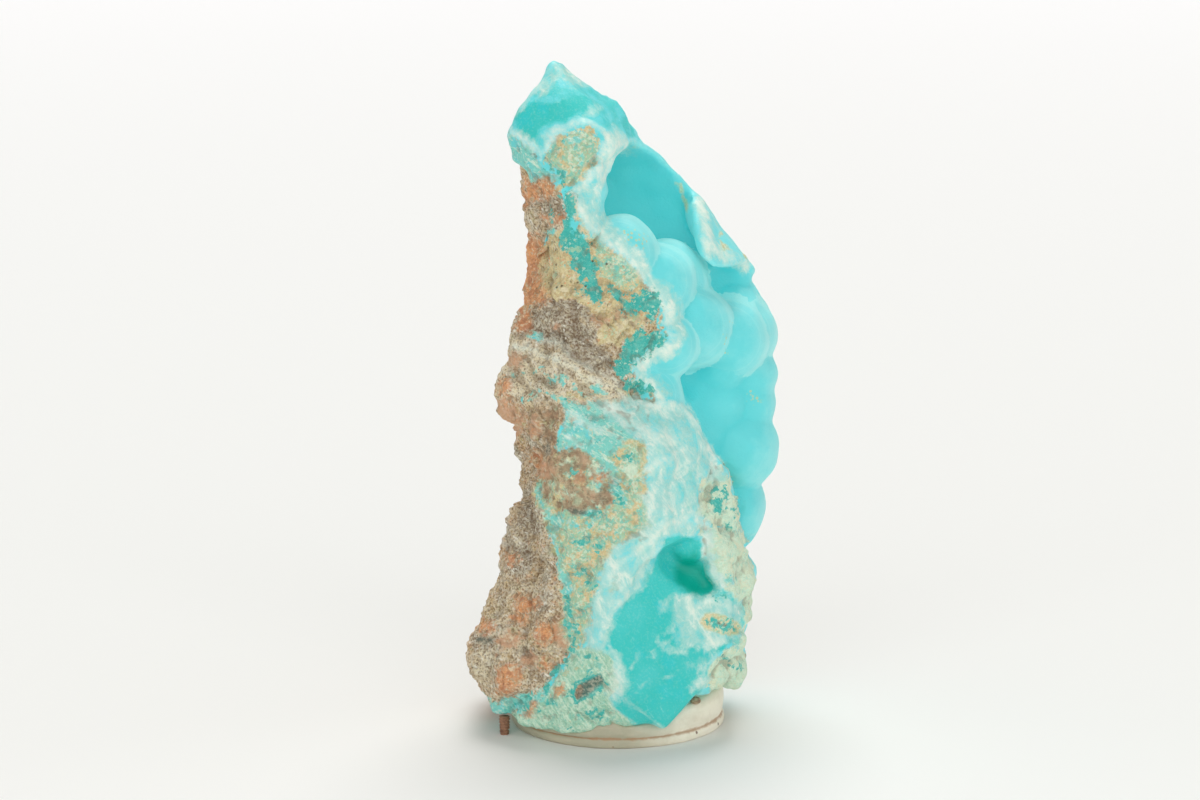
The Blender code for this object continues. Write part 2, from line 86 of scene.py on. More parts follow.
@dataclass(frozen=True)
class FrontView:
    """The view of the broken front, which is the camera's and the zones' outlines' too."""

    aim: Point = (-2.9, 0.0, 52.8)
    distance: float = 533.0
    elevation: float = 11.0
    lens: float = 100.0
    sensor: float = 36.0
    width: float = 1200.0
    height: float = 800.0

    def project(self, points: np.ndarray) -> np.ndarray:
        """Place points of the stone in the view.

        Args:
            points: Rows of x, y and z in millimetres.

        Returns:
            Rows of the view's units, right and down from its top left corner.
        """
        angle = math.radians(self.elevation)
        local = points - np.array(self.aim)
        focal = self.width * self.lens / self.sensor
        depth = self.distance + local[:, 1] * math.cos(angle) - local[:, 2] * math.sin(angle)
        rise = local[:, 2] * math.cos(angle) + local[:, 1] * math.sin(angle)
        across = self.width / 2 + local[:, 0] * focal / depth
        down = self.height / 2 - rise * focal / depth
        return np.stack([across, down], axis=1)

    @property
    def unit(self) -> float:
        """Millimetres of one unit of the view at the aim."""
        return self.distance * self.sensor / (self.lens * self.width)

    @property
    def towards(self) -> np.ndarray:
        """Direction from the stone to the viewer."""
        angle = math.radians(self.elevation)
        return np.array([0.0, -math.cos(angle), math.sin(angle)])

    def camera(self) -> bpy.types.Object:
        """Make the camera that sees the stone so.

        Returns:
            The camera object.
        """
        data = bpy.data.cameras.new("front_camera")
        data.lens = self.lens
        data.sensor_width = self.sensor
        data.clip_end = 20.0
        camera = bpy.data.objects.new("front_camera", data)
        bpy.context.scene.collection.objects.link(camera)
        back = Vector(self.towards)
        camera.location = (Vector(self.aim) + back * self.distance) * MM
        camera.rotation_euler = back.to_track_quat("Z", "Y").to_euler()
        return camera


@dataclass(frozen=True)
class Patch:
    """One zone of the broken face: its mineral, its outline, how far back it goes and how ragged it is."""

    mineral: Mineral
    outline: Outline
    reach: float = 4.0
    stray: float = 1.0


def oval(across: float, down: float, half_width: float, half_height: float, turn: float = 0.0) -> Outline:
    """Outline of an oval spot in the front view.

    Args:
        across: Its centre, right of the view's left edge.
        down: Its centre, below the view's top edge.
        half_width: Half its length.
        half_height: Half its breadth.
        turn: Its turn clockwise, in degrees.

    Returns:
        Twelve points round the oval.
    """
    angle = math.radians(turn)
    points = []
    for step in range(12):
        along = half_width * math.cos(math.tau * step / 12)
        beside = half_height * math.sin(math.tau * step / 12)
        points.append((across + along * math.cos(angle) - beside * math.sin(angle),
                       down + along * math.sin(angle) + beside * math.cos(angle)))
    return tuple(points)


def ribbon(points: Outline, breadth: float) -> Outline:
    """Outline of a band that follows a line in the front view.

    Args:
        points: The line's points.
        breadth: The band's breadth.

    Returns:
        The band's outline, there on one side and back on the other.
    """
    line = np.array(points, float)
    ahead = np.gradient(line, axis=0)
    side = np.stack([-ahead[:, 1], ahead[:, 0]], axis=1)
    side *= breadth / 2 / np.linalg.norm(side, axis=1, keepdims=True)
    return tuple(map(tuple, np.concatenate([line + side, (line - side)[::-1]])))


TIP_FACE = ((556, 60), (575, 72), (601, 92), (622, 103), (633, 123), (642, 141), (614, 130), (590, 120),
            (570, 118), (556, 122), (546, 134), (539, 150), (527, 139), (509, 126), (512, 110), (527, 97), (541, 84))
TIP_PALE = ((536, 88), (556, 60), (575, 72), (588, 86), (572, 88), (558, 80), (548, 92), (536, 102))
TIP_DARK = ((515, 112), (530, 106), (552, 104), (572, 97), (586, 98), (592, 107), (579, 114), (560, 118), (548, 124),
            (540, 136), (535, 146), (526, 138), (518, 126))
TIP_BAND = ((509, 128), (520, 135), (530, 144), (540, 154), (546, 141), (556, 130), (568, 124), (582, 123), (596, 127),
            (608, 134))
CORE_BAND = ((600, 138), (603, 152), (601, 165), (594, 176), (584, 186), (574, 194))
WHITE_SHOULDER = ((596, 126), (612, 128), (624, 134), (637, 143), (640, 158), (634, 168), (620, 166), (612, 170),
                  (606, 178), (600, 190), (588, 192), (600, 170), (604, 150))
WHITE_NECK = ((568, 190), (582, 186), (598, 186), (601, 200), (609, 218), (604, 232), (613, 238), (606, 247),
              (594, 240), (584, 230), (578, 215), (576, 202))
WHITE_RIM = ((572, 190), (584, 212), (598, 232), (616, 244), (632, 262), (643, 284), (660, 296), (671, 312), (668, 326),
             (675, 340), (668, 353), (646, 360), (634, 370), (640, 384), (654, 386), (660, 400))
TAN_EDGE = ((566, 196), (576, 214), (590, 234), (606, 246), (622, 260), (636, 284), (652, 292), (663, 308), (660, 325),
            (668, 340), (660, 350), (640, 356), (628, 370), (636, 388), (648, 391), (652, 402))
CORE = ((545, 150), (549, 141), (557, 133), (569, 130), (581, 130), (593, 136), (600, 147), (598, 161), (593, 171),
        (585, 178), (577, 184), (566, 182), (558, 176), (550, 168), (543, 160))
CORE_TAN = ((550, 147), (562, 137), (574, 142), (586, 144), (590, 152), (580, 158), (586, 166), (577, 172), (564, 168),
            (552, 160))
CORE_FOOT = ((563, 173), (577, 169), (585, 174), (579, 184), (566, 184), (556, 192), (552, 186))
SHOULDER = ((508, 132), (520, 140), (530, 148), (540, 160), (546, 169), (556, 178), (550, 182), (536, 180), (518, 182),
            (510, 166), (506, 150))
NECK_ROCK = ((500, 178), (548, 177), (553, 183), (562, 193), (566, 206), (563, 219), (567, 228), (570, 250), (560, 262),
             (500, 262), (508, 205))
NECK_GREY = ((537, 202), (546, 194), (556, 196), (563, 204), (561, 213), (550, 217), (540, 214))
NECK_STONE = ((524, 190), (535, 187), (538, 196), (530, 206), (524, 204))
RED_CORNER = ((519, 181), (534, 186), (547, 180), (556, 192), (549, 194), (536, 196), (526, 206), (520, 200))
RUST_LINE = ((526, 222), (540, 215), (552, 221), (565, 217))
NECK_EDGE = ((569, 190), (575, 202), (577, 216), (582, 230), (592, 241), (603, 248))
TEAL_STREAK = ((562, 188), (571, 194), (575, 206), (572, 216), (576, 230), (586, 243), (593, 253), (598, 262), (598, 273),
               (592, 281), (587, 287), (579, 280), (575, 270), (568, 256), (565, 242), (568, 226), (564, 210))
POROUS = ((520, 233), (552, 232), (566, 234), (576, 242), (590, 240), (603, 243), (620, 252), (634, 266), (641, 286),
          (645, 300), (650, 312), (640, 326), (628, 334), (618, 346), (604, 344), (600, 326), (586, 308), (575, 300),
          (550, 300), (520, 308))
ORANGE_EDGE = ((518, 236), (538, 238), (543, 252), (538, 272), (541, 290), (550, 299), (518, 310), (516, 280))
GREEN_LUMP = ((604, 258), (618, 253), (623, 263), (619, 277), (610, 281), (605, 270))
GREEN_ARM = ((592, 238), (604, 243), (622, 255), (636, 268), (640, 284), (628, 294), (612, 284), (600, 276), (598, 258))
TEAL_POCKET = ((584, 284), (600, 276), (608, 288), (602, 300), (590, 297), (578, 290))
TEAL_ARM = ((608, 280), (616, 290), (626, 297), (638, 294), (648, 290), (659, 295), (663, 307), (656, 314), (654, 324),
            (645, 320), (643, 311), (634, 309), (627, 311), (617, 304), (610, 292))
TEAL_LOBE = ((624, 338), (634, 330), (653, 329), (666, 336), (667, 345), (658, 352), (642, 356), (635, 360), (628, 371),
             (620, 378), (612, 372), (616, 362), (620, 352))
TEAL_FOOT = ((622, 380), (637, 382), (651, 385), (646, 394), (636, 399), (628, 392))
GREY_BAND = ((520, 309), (536, 303), (557, 299), (578, 300), (596, 310), (590, 322), (600, 334), (606, 348), (612, 362),
             (617, 377), (610, 380), (596, 374), (579, 362), (560, 350), (543, 340), (514, 330))
BROWN_KNOT = ((611, 307), (624, 306), (636, 302), (642, 308), (639, 320), (629, 327), (618, 322))
UPPER_ROCK = ((470, 176), (553, 183), (566, 206), (570, 246), (590, 242), (606, 248), (622, 260), (636, 284),
              (652, 292), (661, 306), (657, 324), (664, 340), (656, 350), (638, 356), (626, 370), (634, 384), (640, 396),
              (655, 404), (640, 410), (600, 408), (566, 406), (560, 430), (558, 450), (584, 452), (600, 458), (616, 470),
              (616, 500), (600, 512), (560, 520), (545, 516), (536, 490), (470, 480), (460, 320))
RUSTY_BULGE = ((490, 396), (508, 396), (516, 405), (524, 412), (526, 426), (520, 438), (508, 442), (496, 420))
LOWER_ROCK = ((480, 470), (540, 484), (546, 512), (553, 545), (559, 572), (566, 600), (570, 626), (574, 640), (566, 664),
              (550, 680), (534, 700), (506, 716), (480, 716), (430, 690), (440, 620), (470, 560))
BROWN_LUMPS = ((528, 408), (546, 402), (562, 404), (562, 420), (557, 440), (552, 454), (543, 447), (532, 441), (526, 424))
RING_LUMPS = ((536, 450), (560, 446), (582, 450), (596, 458), (610, 464), (613, 480), (612, 498), (604, 510), (590, 508),
              (576, 514), (556, 509), (542, 492))
STRIA_ONE = ((516, 346), (532, 350), (560, 360), (590, 378), (624, 394))
STRIA_TWO = ((536, 334), (566, 350), (596, 370), (622, 386))
STRIA_THREE = ((506, 372), (530, 362), (556, 370), (584, 386), (610, 396))
STRIA_FOUR = ((512, 396), (532, 384), (552, 388), (580, 398))
LEFT_STRIAE = ((500, 342), (545, 344), (580, 362), (618, 384), (640, 400), (600, 404), (556, 402), (530, 408), (492, 396))
AQUA_FIELD = ((566, 402), (584, 405), (600, 398), (622, 402), (640, 402), (652, 408), (646, 424), (640, 438), (624, 442),
              (614, 452), (604, 466), (594, 458), (584, 451), (572, 453), (558, 448), (561, 430))
SPECKLED_FIELD = ((558, 448), (584, 450), (612, 440), (640, 440), (650, 468), (644, 500), (654, 522), (640, 535),
                  (616, 546), (604, 558), (598, 574), (602, 588), (594, 602), (592, 622), (584, 638), (576, 650),
                  (562, 642), (565, 610), (559, 580), (552, 550), (543, 520), (534, 488))
WHITE_MASS = ((600, 398), (640, 398), (652, 403), (666, 401), (686, 406), (699, 420), (708, 436), (708, 452), (702, 477),
              (698, 500), (698, 517), (680, 526), (655, 530), (644, 516), (640, 497), (648, 484), (650, 466), (642, 444),
              (626, 432), (606, 420))
CLEAR_SPOT = ((660, 482), (676, 474), (692, 472), (699, 484), (693, 500), (680, 506), (664, 500))
FIBRE_SPUR = ((698, 498), (704, 478), (712, 466), (722, 462), (730, 474), (737, 504), (743, 534), (728, 531), (714, 527),
              (696, 517))
SPUR_TOP = ((704, 450), (712, 448), (720, 458), (728, 470), (722, 480), (710, 480), (702, 472))
FROST = ((666, 538), (660, 547), (654, 566), (642, 584), (628, 600), (616, 620), (608, 640), (604, 652), (584, 648),
         (584, 630), (592, 612), (592, 600), (600, 588), (596, 574), (602, 558), (610, 546), (628, 538), (642, 524),
         (658, 519), (678, 517), (698, 511), (710, 526), (694, 535))
WEDGE = ((664, 540), (684, 534), (703, 545), (712, 572), (722, 586), (738, 600), (745, 622), (722, 650), (712, 664),
         (702, 692), (686, 716), (663, 742), (636, 728), (616, 709), (611, 700), (618, 686), (613, 668), (612, 654),
         (596, 650), (604, 630), (620, 606), (640, 584), (656, 562))
CAVITY = ((674, 556), (692, 549), (706, 562), (717, 584), (708, 596), (690, 595), (674, 586))
RIGHT_LUMPS = ((700, 526), (716, 526), (738, 530), (752, 545), (760, 560), (764, 592), (760, 625), (758, 647), (762, 665),
               (758, 688), (735, 698), (712, 698), (706, 680), (711, 664), (724, 650), (738, 633), (743, 615), (733, 600),
               (727, 588), (715, 578), (706, 556))
RIGHT_FROST = ((698, 522), (714, 528), (713, 550), (720, 572), (732, 588), (722, 592), (709, 582), (702, 556))
EYE_FROST = ((676, 602), (692, 594), (712, 590), (732, 594), (743, 608), (742, 630), (726, 643), (704, 650), (686, 648),
             (680, 640), (670, 632), (674, 618))
EYE_WISP = ((658, 642), (660, 634), (668, 628), (676, 628))
LOW_WISP = ((664, 648), (674, 653), (690, 652), (706, 646), (722, 640))
FAR_WISP = ((660, 606), (676, 600), (690, 606))
FOOT_FROST = ((718, 646), (712, 664), (706, 680), (696, 696), (688, 692), (696, 674), (706, 656))
WEDGE_FROST = ((609, 650), (620, 655), (622, 672), (628, 684), (622, 700), (612, 706), (608, 692), (612, 674))
MINT_FOOT = ((556, 644), (575, 648), (598, 648), (613, 652), (616, 668), (622, 688), (613, 700), (624, 716), (644, 734),
             (640, 744), (596, 740), (500, 736), (470, 712), (524, 716), (537, 698), (552, 682), (566, 668), (568, 652))
BACK_EDGE = ((540, 486), (545, 508), (551, 532), (557, 556), (562, 580), (566, 600))
BACK_TEAL = ((566, 596), (570, 614), (577, 632), (568, 646), (566, 660), (562, 670))
LOW_TEAL = ((574, 632), (567, 650), (565, 666), (552, 678), (541, 690), (522, 706), (498, 716))
LOW_AQUA = ((470, 690), (494, 700), (512, 698), (530, 694), (540, 684), (546, 688), (538, 702), (522, 714), (496, 720),
            (470, 712))
KNOB_BAND = ((700, 196), (704, 215), (709, 240), (714, 252), (728, 258), (750, 266))
KNOB_EYE = ((722, 232), (720, 240), (725, 248), (733, 248))


def patches() -> list[Patch]:
    """Zones of the broken face, of which the minerals that come later in the material lie on top."""
    found = [
        Patch(Mineral.FACE, TIP_FACE),
        Patch(Mineral.MILK, TIP_PALE, 4.0, 0.5),
        Patch(Mineral.GLASS, TIP_DARK),
        Patch(Mineral.WHITE, ribbon(TIP_BAND, 6)),
        Patch(Mineral.WHITE, ribbon(((542, 78), (526, 97), (514, 114)), 4)),
        Patch(Mineral.MILK, WHITE_SHOULDER),
        Patch(Mineral.WHITE, ribbon(((604, 136), (612, 152), (608, 168), (596, 182)), 12)),
        Patch(Mineral.WHITE, ribbon(CORE_BAND, 7)),
        Patch(Mineral.WHITE, oval(618, 143, 11, 4, 40)),
        Patch(Mineral.WHITE, oval(596, 110, 5, 4)),
        Patch(Mineral.MILK, WHITE_NECK),
        Patch(Mineral.WHITE, ribbon(WHITE_RIM, 7)),
        Patch(Mineral.MILK, ribbon(tuple((x + 5, y - 4) for x, y in WHITE_RIM), 15), 4.0, 0.6),
        Patch(Mineral.MILK, WHITE_MASS),
        Patch(Mineral.MILK, FROST),
        Patch(Mineral.WHITE, ribbon(((600, 640), (606, 622), (618, 604), (634, 584), (650, 560), (662, 542)), 3)),
        Patch(Mineral.WHITE, ribbon(((608, 574), (622, 560), (640, 546), (654, 530)), 4)),
        Patch(Mineral.WHITE, ribbon(((650, 534), (672, 524), (694, 516), (706, 528)), 6)),
        Patch(Mineral.WHITE, ribbon(((646, 408), (664, 404), (686, 410), (698, 424), (706, 440)), 5)),
        Patch(Mineral.WHITE, ribbon(((606, 404), (634, 420), (656, 436), (676, 440)), 7)),
        Patch(Mineral.WHITE, ribbon(((648, 470), (668, 456), (690, 452)), 6)),
        Patch(Mineral.MILK, RIGHT_FROST),
        Patch(Mineral.WHITE, ribbon(((708, 530), (710, 552), (718, 574), (730, 588)), 4)),
        Patch(Mineral.MILK, EYE_FROST),
        Patch(Mineral.WHITE, ribbon(((684, 620), (696, 606), (714, 600), (734, 606)), 5)),
        Patch(Mineral.WHITE, ribbon(LOW_WISP, 5), 4.0, 0.5),
        Patch(Mineral.WHITE, ribbon(EYE_WISP, 3), 4.0, 0.5),
        Patch(Mineral.MILK, ribbon(FAR_WISP, 9)),
        Patch(Mineral.MILK, ribbon(((630, 670), (650, 652), (676, 638), (700, 622)), 3), 4.0, 1.6),
        Patch(Mineral.MILK, ribbon(((636, 694), (662, 678), (692, 662)), 2.5), 4.0, 1.6),
        Patch(Mineral.MILK, ribbon(((618, 694), (636, 706), (664, 728)), 3), 4.0, 1.6),
        Patch(Mineral.MILK, FOOT_FROST),
        Patch(Mineral.WHITE, ribbon(((716, 650), (708, 668), (698, 688)), 5)),
        Patch(Mineral.WHITE, WEDGE_FROST),
        Patch(Mineral.MILK, SPUR_TOP),
        Patch(Mineral.WHITE, ribbon(((705, 446), (711, 456), (716, 470)), 6)),
        Patch(Mineral.WHITE, ribbon(KNOB_BAND, 5), 12.0),
        Patch(Mineral.MILK, ribbon(KNOB_BAND, 15), 12.0, 0.5),
        Patch(Mineral.WHITE, ribbon(STRIA_ONE, 2)),
        Patch(Mineral.WHITE, ribbon(STRIA_TWO, 1.5)),
        Patch(Mineral.SPECKLE, CORE),
        Patch(Mineral.TAN, CORE_TAN),
        Patch(Mineral.TAN, CORE_FOOT),
        Patch(Mineral.TAN, POROUS),
        Patch(Mineral.TAN, ribbon(TAN_EDGE, 3.2)),
        Patch(Mineral.TAN, ribbon(NECK_EDGE, 6)),
        Patch(Mineral.SPECKLE, GREEN_ARM),
        Patch(Mineral.OLIVE, GREEN_LUMP),
        Patch(Mineral.SPECKLE, FIBRE_SPUR),
        Patch(Mineral.RING, oval(720, 624, 21, 11, 12), 4.0, 0.5),
        Patch(Mineral.RING, ribbon(KNOB_EYE, 3), 12.0, 0.5),
        Patch(Mineral.RING, ribbon(((618, 442), (630, 441), (641, 450), (646, 462), (638, 474), (622, 476)), 5)),
        Patch(Mineral.PINK, oval(601, 320, 10, 5, -10)),
        Patch(Mineral.PINK, RUSTY_BULGE, 14.0),
        Patch(Mineral.RUST, RED_CORNER, 8.0),
        Patch(Mineral.RUST, ribbon(RUST_LINE, 4)),
        Patch(Mineral.RUST, ORANGE_EDGE, 14.0, 0.6),
        Patch(Mineral.GREY, NECK_GREY),
        Patch(Mineral.BROWN, NECK_STONE),
        Patch(Mineral.GREY, GREY_BAND),
        Patch(Mineral.BROWN, BROWN_KNOT),
        Patch(Mineral.BROWN, BROWN_LUMPS),
        Patch(Mineral.BROWN, RING_LUMPS),
        Patch(Mineral.TEAL, TEAL_STREAK),
        Patch(Mineral.TEAL, TEAL_POCKET),
        Patch(Mineral.TEAL, TEAL_ARM),
        Patch(Mineral.TEAL, TEAL_LOBE),
        Patch(Mineral.TEAL, TEAL_FOOT),
        Patch(Mineral.TEAL, ribbon(LOW_TEAL, 3)),
        Patch(Mineral.TEAL, ribbon(BACK_TEAL, 4)),
        Patch(Mineral.TEAL, ribbon(((548, 164), (557, 172), (563, 182), (570, 192)), 5)),
        Patch(Mineral.TEAL, oval(720, 624, 15.5, 5.5, 12), 4.0, 0.3),
        Patch(Mineral.AQUA, LOW_AQUA),
        Patch(Mineral.AQUA, SHOULDER),
        Patch(Mineral.AQUA, AQUA_FIELD),
        Patch(Mineral.AQUA, ribbon(BACK_EDGE, 4)),
        Patch(Mineral.AQUA, ribbon(((556, 518), (580, 524), (604, 520)), 4), 4.0, 2.0),
        Patch(Mineral.AQUA, ribbon(((600, 452), (612, 470), (616, 490), (626, 506)), 8)),
        Patch(Mineral.SPECKLE, SPECKLED_FIELD),
        Patch(Mineral.SPECKLE, RIGHT_LUMPS),
        Patch(Mineral.MINT, MINT_FOOT),
        Patch(Mineral.PALE, RIGHT_LUMPS),
        Patch(Mineral.PALE, FIBRE_SPUR),
        Patch(Mineral.PALE, LEFT_STRIAE),
        Patch(Mineral.PALE, oval(507, 412, 6, 6)),
        Patch(Mineral.PALE, oval(554, 226, 9, 4)),
        Patch(Mineral.ROCK, NECK_ROCK),
        Patch(Mineral.ROCK, UPPER_ROCK),
        Patch(Mineral.ROCK, LOWER_ROCK),
        Patch(Mineral.CORE, oval(722, 624, 6, 1.8, 16), 4.0, 0.2),
        Patch(Mineral.GLASS, WEDGE, 4.0, 0.8),
        Patch(Mineral.FACE, CLEAR_SPOT),
        Patch(Mineral.DEEP, CAVITY, 8.0),
    ]
    for mineral, ovals in SPOTS.items():
        reach = 20.0 if mineral in (Mineral.FLECK, Mineral.RING) else 5.0
        found += [Patch(mineral, oval(*sizes), reach, 0.5) for sizes in ovals]
    for line in (STRIA_THREE, STRIA_FOUR):
        found += [Patch(Mineral.PALE, ribbon(line, 5)), Patch(Mineral.AQUA, ribbon([(x + 6, y + 7) for x, y in line], 1))]
    for mineral, right, down, length, breadth in FIELD_STREAKS:
        line = ((right, down), (right + 0.5 * length, down + 0.2 * length), (right + length, down + 0.5 * length))
        found.append(Patch(mineral, ribbon(line, breadth), 4.0, 0.7))
    return found


# Fibrous streaks over the upper edge of the turquoise field: mineral, right, down, length and breadth.
FIELD_STREAKS = (
    (Mineral.TAN, 556, 396, 26, 4), (Mineral.TAN, 570, 392, 34, 3), (Mineral.TAN, 592, 392, 30, 3),
    (Mineral.TAN, 610, 386, 28, 3), (Mineral.TAN, 578, 410, 24, 3.5), (Mineral.TAN, 584, 430, 22, 4),
    (Mineral.TAN, 600, 424, 22, 3), (Mineral.WHITE, 566, 414, 30, 2.5), (Mineral.WHITE, 588, 400, 34, 2.5),
    (Mineral.WHITE, 606, 408, 34, 4), (Mineral.WHITE, 590, 426, 34, 4), (Mineral.WHITE, 566, 438, 20, 3),
    (Mineral.PINK, 574, 400, 16, 2.5), (Mineral.PINK, 600, 396, 20, 2), (Mineral.PINK, 618, 398, 18, 2),
)


# Small oval spots of the view by mineral: right, down, half length, half breadth and turn.
SPOTS: dict[Mineral, list[tuple[float, ...]]] = {
    Mineral.TAN: [
        (606, 136, 5, 2.2), (614, 105, 5, 3.5, 40), (620, 113, 4, 2.5), (521, 148, 2, 4, -30),
        (534, 162, 3, 4), (525, 176, 6, 2.5), (592, 412, 7, 2.5, 15), (597, 434, 10, 2.5, 20), (616, 424, 9, 2, 25),
        (628, 446, 8, 5), (617, 583, 5, 9, 10), (690, 630, 5, 2.5), (724, 552, 8, 6, 20), (680, 592, 3, 1.5),
        (674, 452, 5, 1.5, 30), (722, 597, 5, 2, -20), (736, 575, 6, 9, 10), (742, 660, 7, 8), (730, 668, 6, 5),
        (628, 516, 12, 8, 10), (606, 530, 8, 6), (574, 528, 9, 4, -10), (575, 562, 9, 10), (590, 548, 8, 5),
        (584, 620, 6, 12, 10), (706, 512, 5, 9), (612, 690, 3, 10, -20), (615, 638, 2, 4),
    ],
    Mineral.OLIVE: [
        (580, 511, 11, 5.5, 10), (596, 262, 5, 5), (585, 608, 6, 8, 20), (565, 625, 4, 5), (706, 512, 4, 8),
        (642, 468, 3, 6), (634, 316, 5, 6), (576, 648, 6, 7), (552, 548, 4, 6),
    ],
    Mineral.AQUA: [
        (574, 140, 10, 3), (551, 151, 3, 5), (582, 161, 3, 8), (592, 150, 3, 6), (560, 174, 6, 3), (556, 524, 8, 9),
        (590, 512, 9, 4), (566, 584, 5, 12), (600, 480, 5, 12), (552, 232, 6, 2.5), (534, 336, 8, 3, 15),
        (556, 380, 10, 3, 20), (600, 392, 14, 3, 20), (728, 580, 6, 4), (742, 608, 4, 8), (735, 640, 4, 8),
    ],
    Mineral.TEAL: [
        (628, 458, 6, 3.5), (582, 541, 9, 3, 5), (596, 548, 5, 3), (618, 500, 3, 7, 5), (588, 688, 22, 10.5, -33),
        (546, 704, 8, 2.2, -20), (588, 713, 8, 2.2, -20), (571, 729, 3, 1.5), (598, 716, 6, 1.8, -35),
        (590, 658, 3, 1.5), (582, 573, 6, 3), (592, 584, 4, 3), (599, 298, 5, 4), (572, 470, 2, 5), (594, 514, 7, 3),
        (718, 506, 4.5, 9, -10), (714, 486, 1, 5, 10), (724, 494, 1, 6, -15), (731, 512, 1.2, 7, -10),
        (728, 524, 1, 5), (552, 214, 2, 6), (720, 598, 5, 2), (727, 660, 4, 2, 40), (738, 668, 3, 2),
    ],
    Mineral.RUST: [
        (524, 322, 6, 10, 20), (520, 617, 6, 4), (486, 627, 7, 5), (545, 635, 12, 9, -30), (547, 664, 6, 4),
        (508, 680, 12, 14, 20), (526, 604, 10, 6), (505, 388, 5, 7), (600, 478, 3, 2), (592, 96, 1.2, 1),
        (733, 323, 2, 1.6), (559, 690, 5, 2, -30), (535, 460, 5, 5), (512, 560, 3, 5), (530, 708, 3, 6, 30),
    ],
    Mineral.PINK: [
        (560, 636, 8, 14, -10), (510, 640, 16, 8, -20), (536, 430, 8, 10), (572, 420, 3, 3), (544, 470, 8, 9),
        (580, 476, 6, 8), (536, 236, 7, 4), (530, 660, 12, 7), (556, 326, 5, 3), (515, 360, 7, 9),
    ],
    Mineral.GREY: [
        (484, 641, 13, 7, 10), (545, 437, 6, 10, -10), (532, 520, 14, 20, 20), (520, 560, 12, 18, 10),
        (545, 676, 6, 4, -20), (582, 690, 12, 4, -33),
    ],
    Mineral.PALE: [
        (597, 470, 9, 9), (597, 497, 10, 9), (570, 493, 6, 6), (566, 466, 5, 6), (482, 665, 10, 18, 10),
        (552, 646, 7, 5, -40), (506, 638, 10, 5, 20), (544, 570, 3, 5), (520, 540, 3, 7, 20), (536, 584, 3, 6),
        (512, 588, 2, 4), (600, 470, 3, 3), (632, 470, 10, 10), (548, 258, 6, 6), (520, 270, 2, 6),
    ],
    Mineral.FLECK: [(634, 240, 18, 14, 35), (753, 398, 10, 12, -20), (725, 348, 4, 26, -8), (733, 323, 5, 4)],
    Mineral.RING: [(684, 198, 2, 16, -8), (719, 206, 2, 3), (745, 255, 4, 2, 40), (676, 184, 3, 1.5, 40)],
    Mineral.DARK: [(590, 687, 17, 7, -33), (578, 511, 9, 4, 10), (548, 449, 3, 6), (485, 640, 10, 3, 10)],
    Mineral.CORE: [(579, 692, 4, 7, 20), (634, 316, 1.2, 2.5), (561, 241, 1, 1)],
}


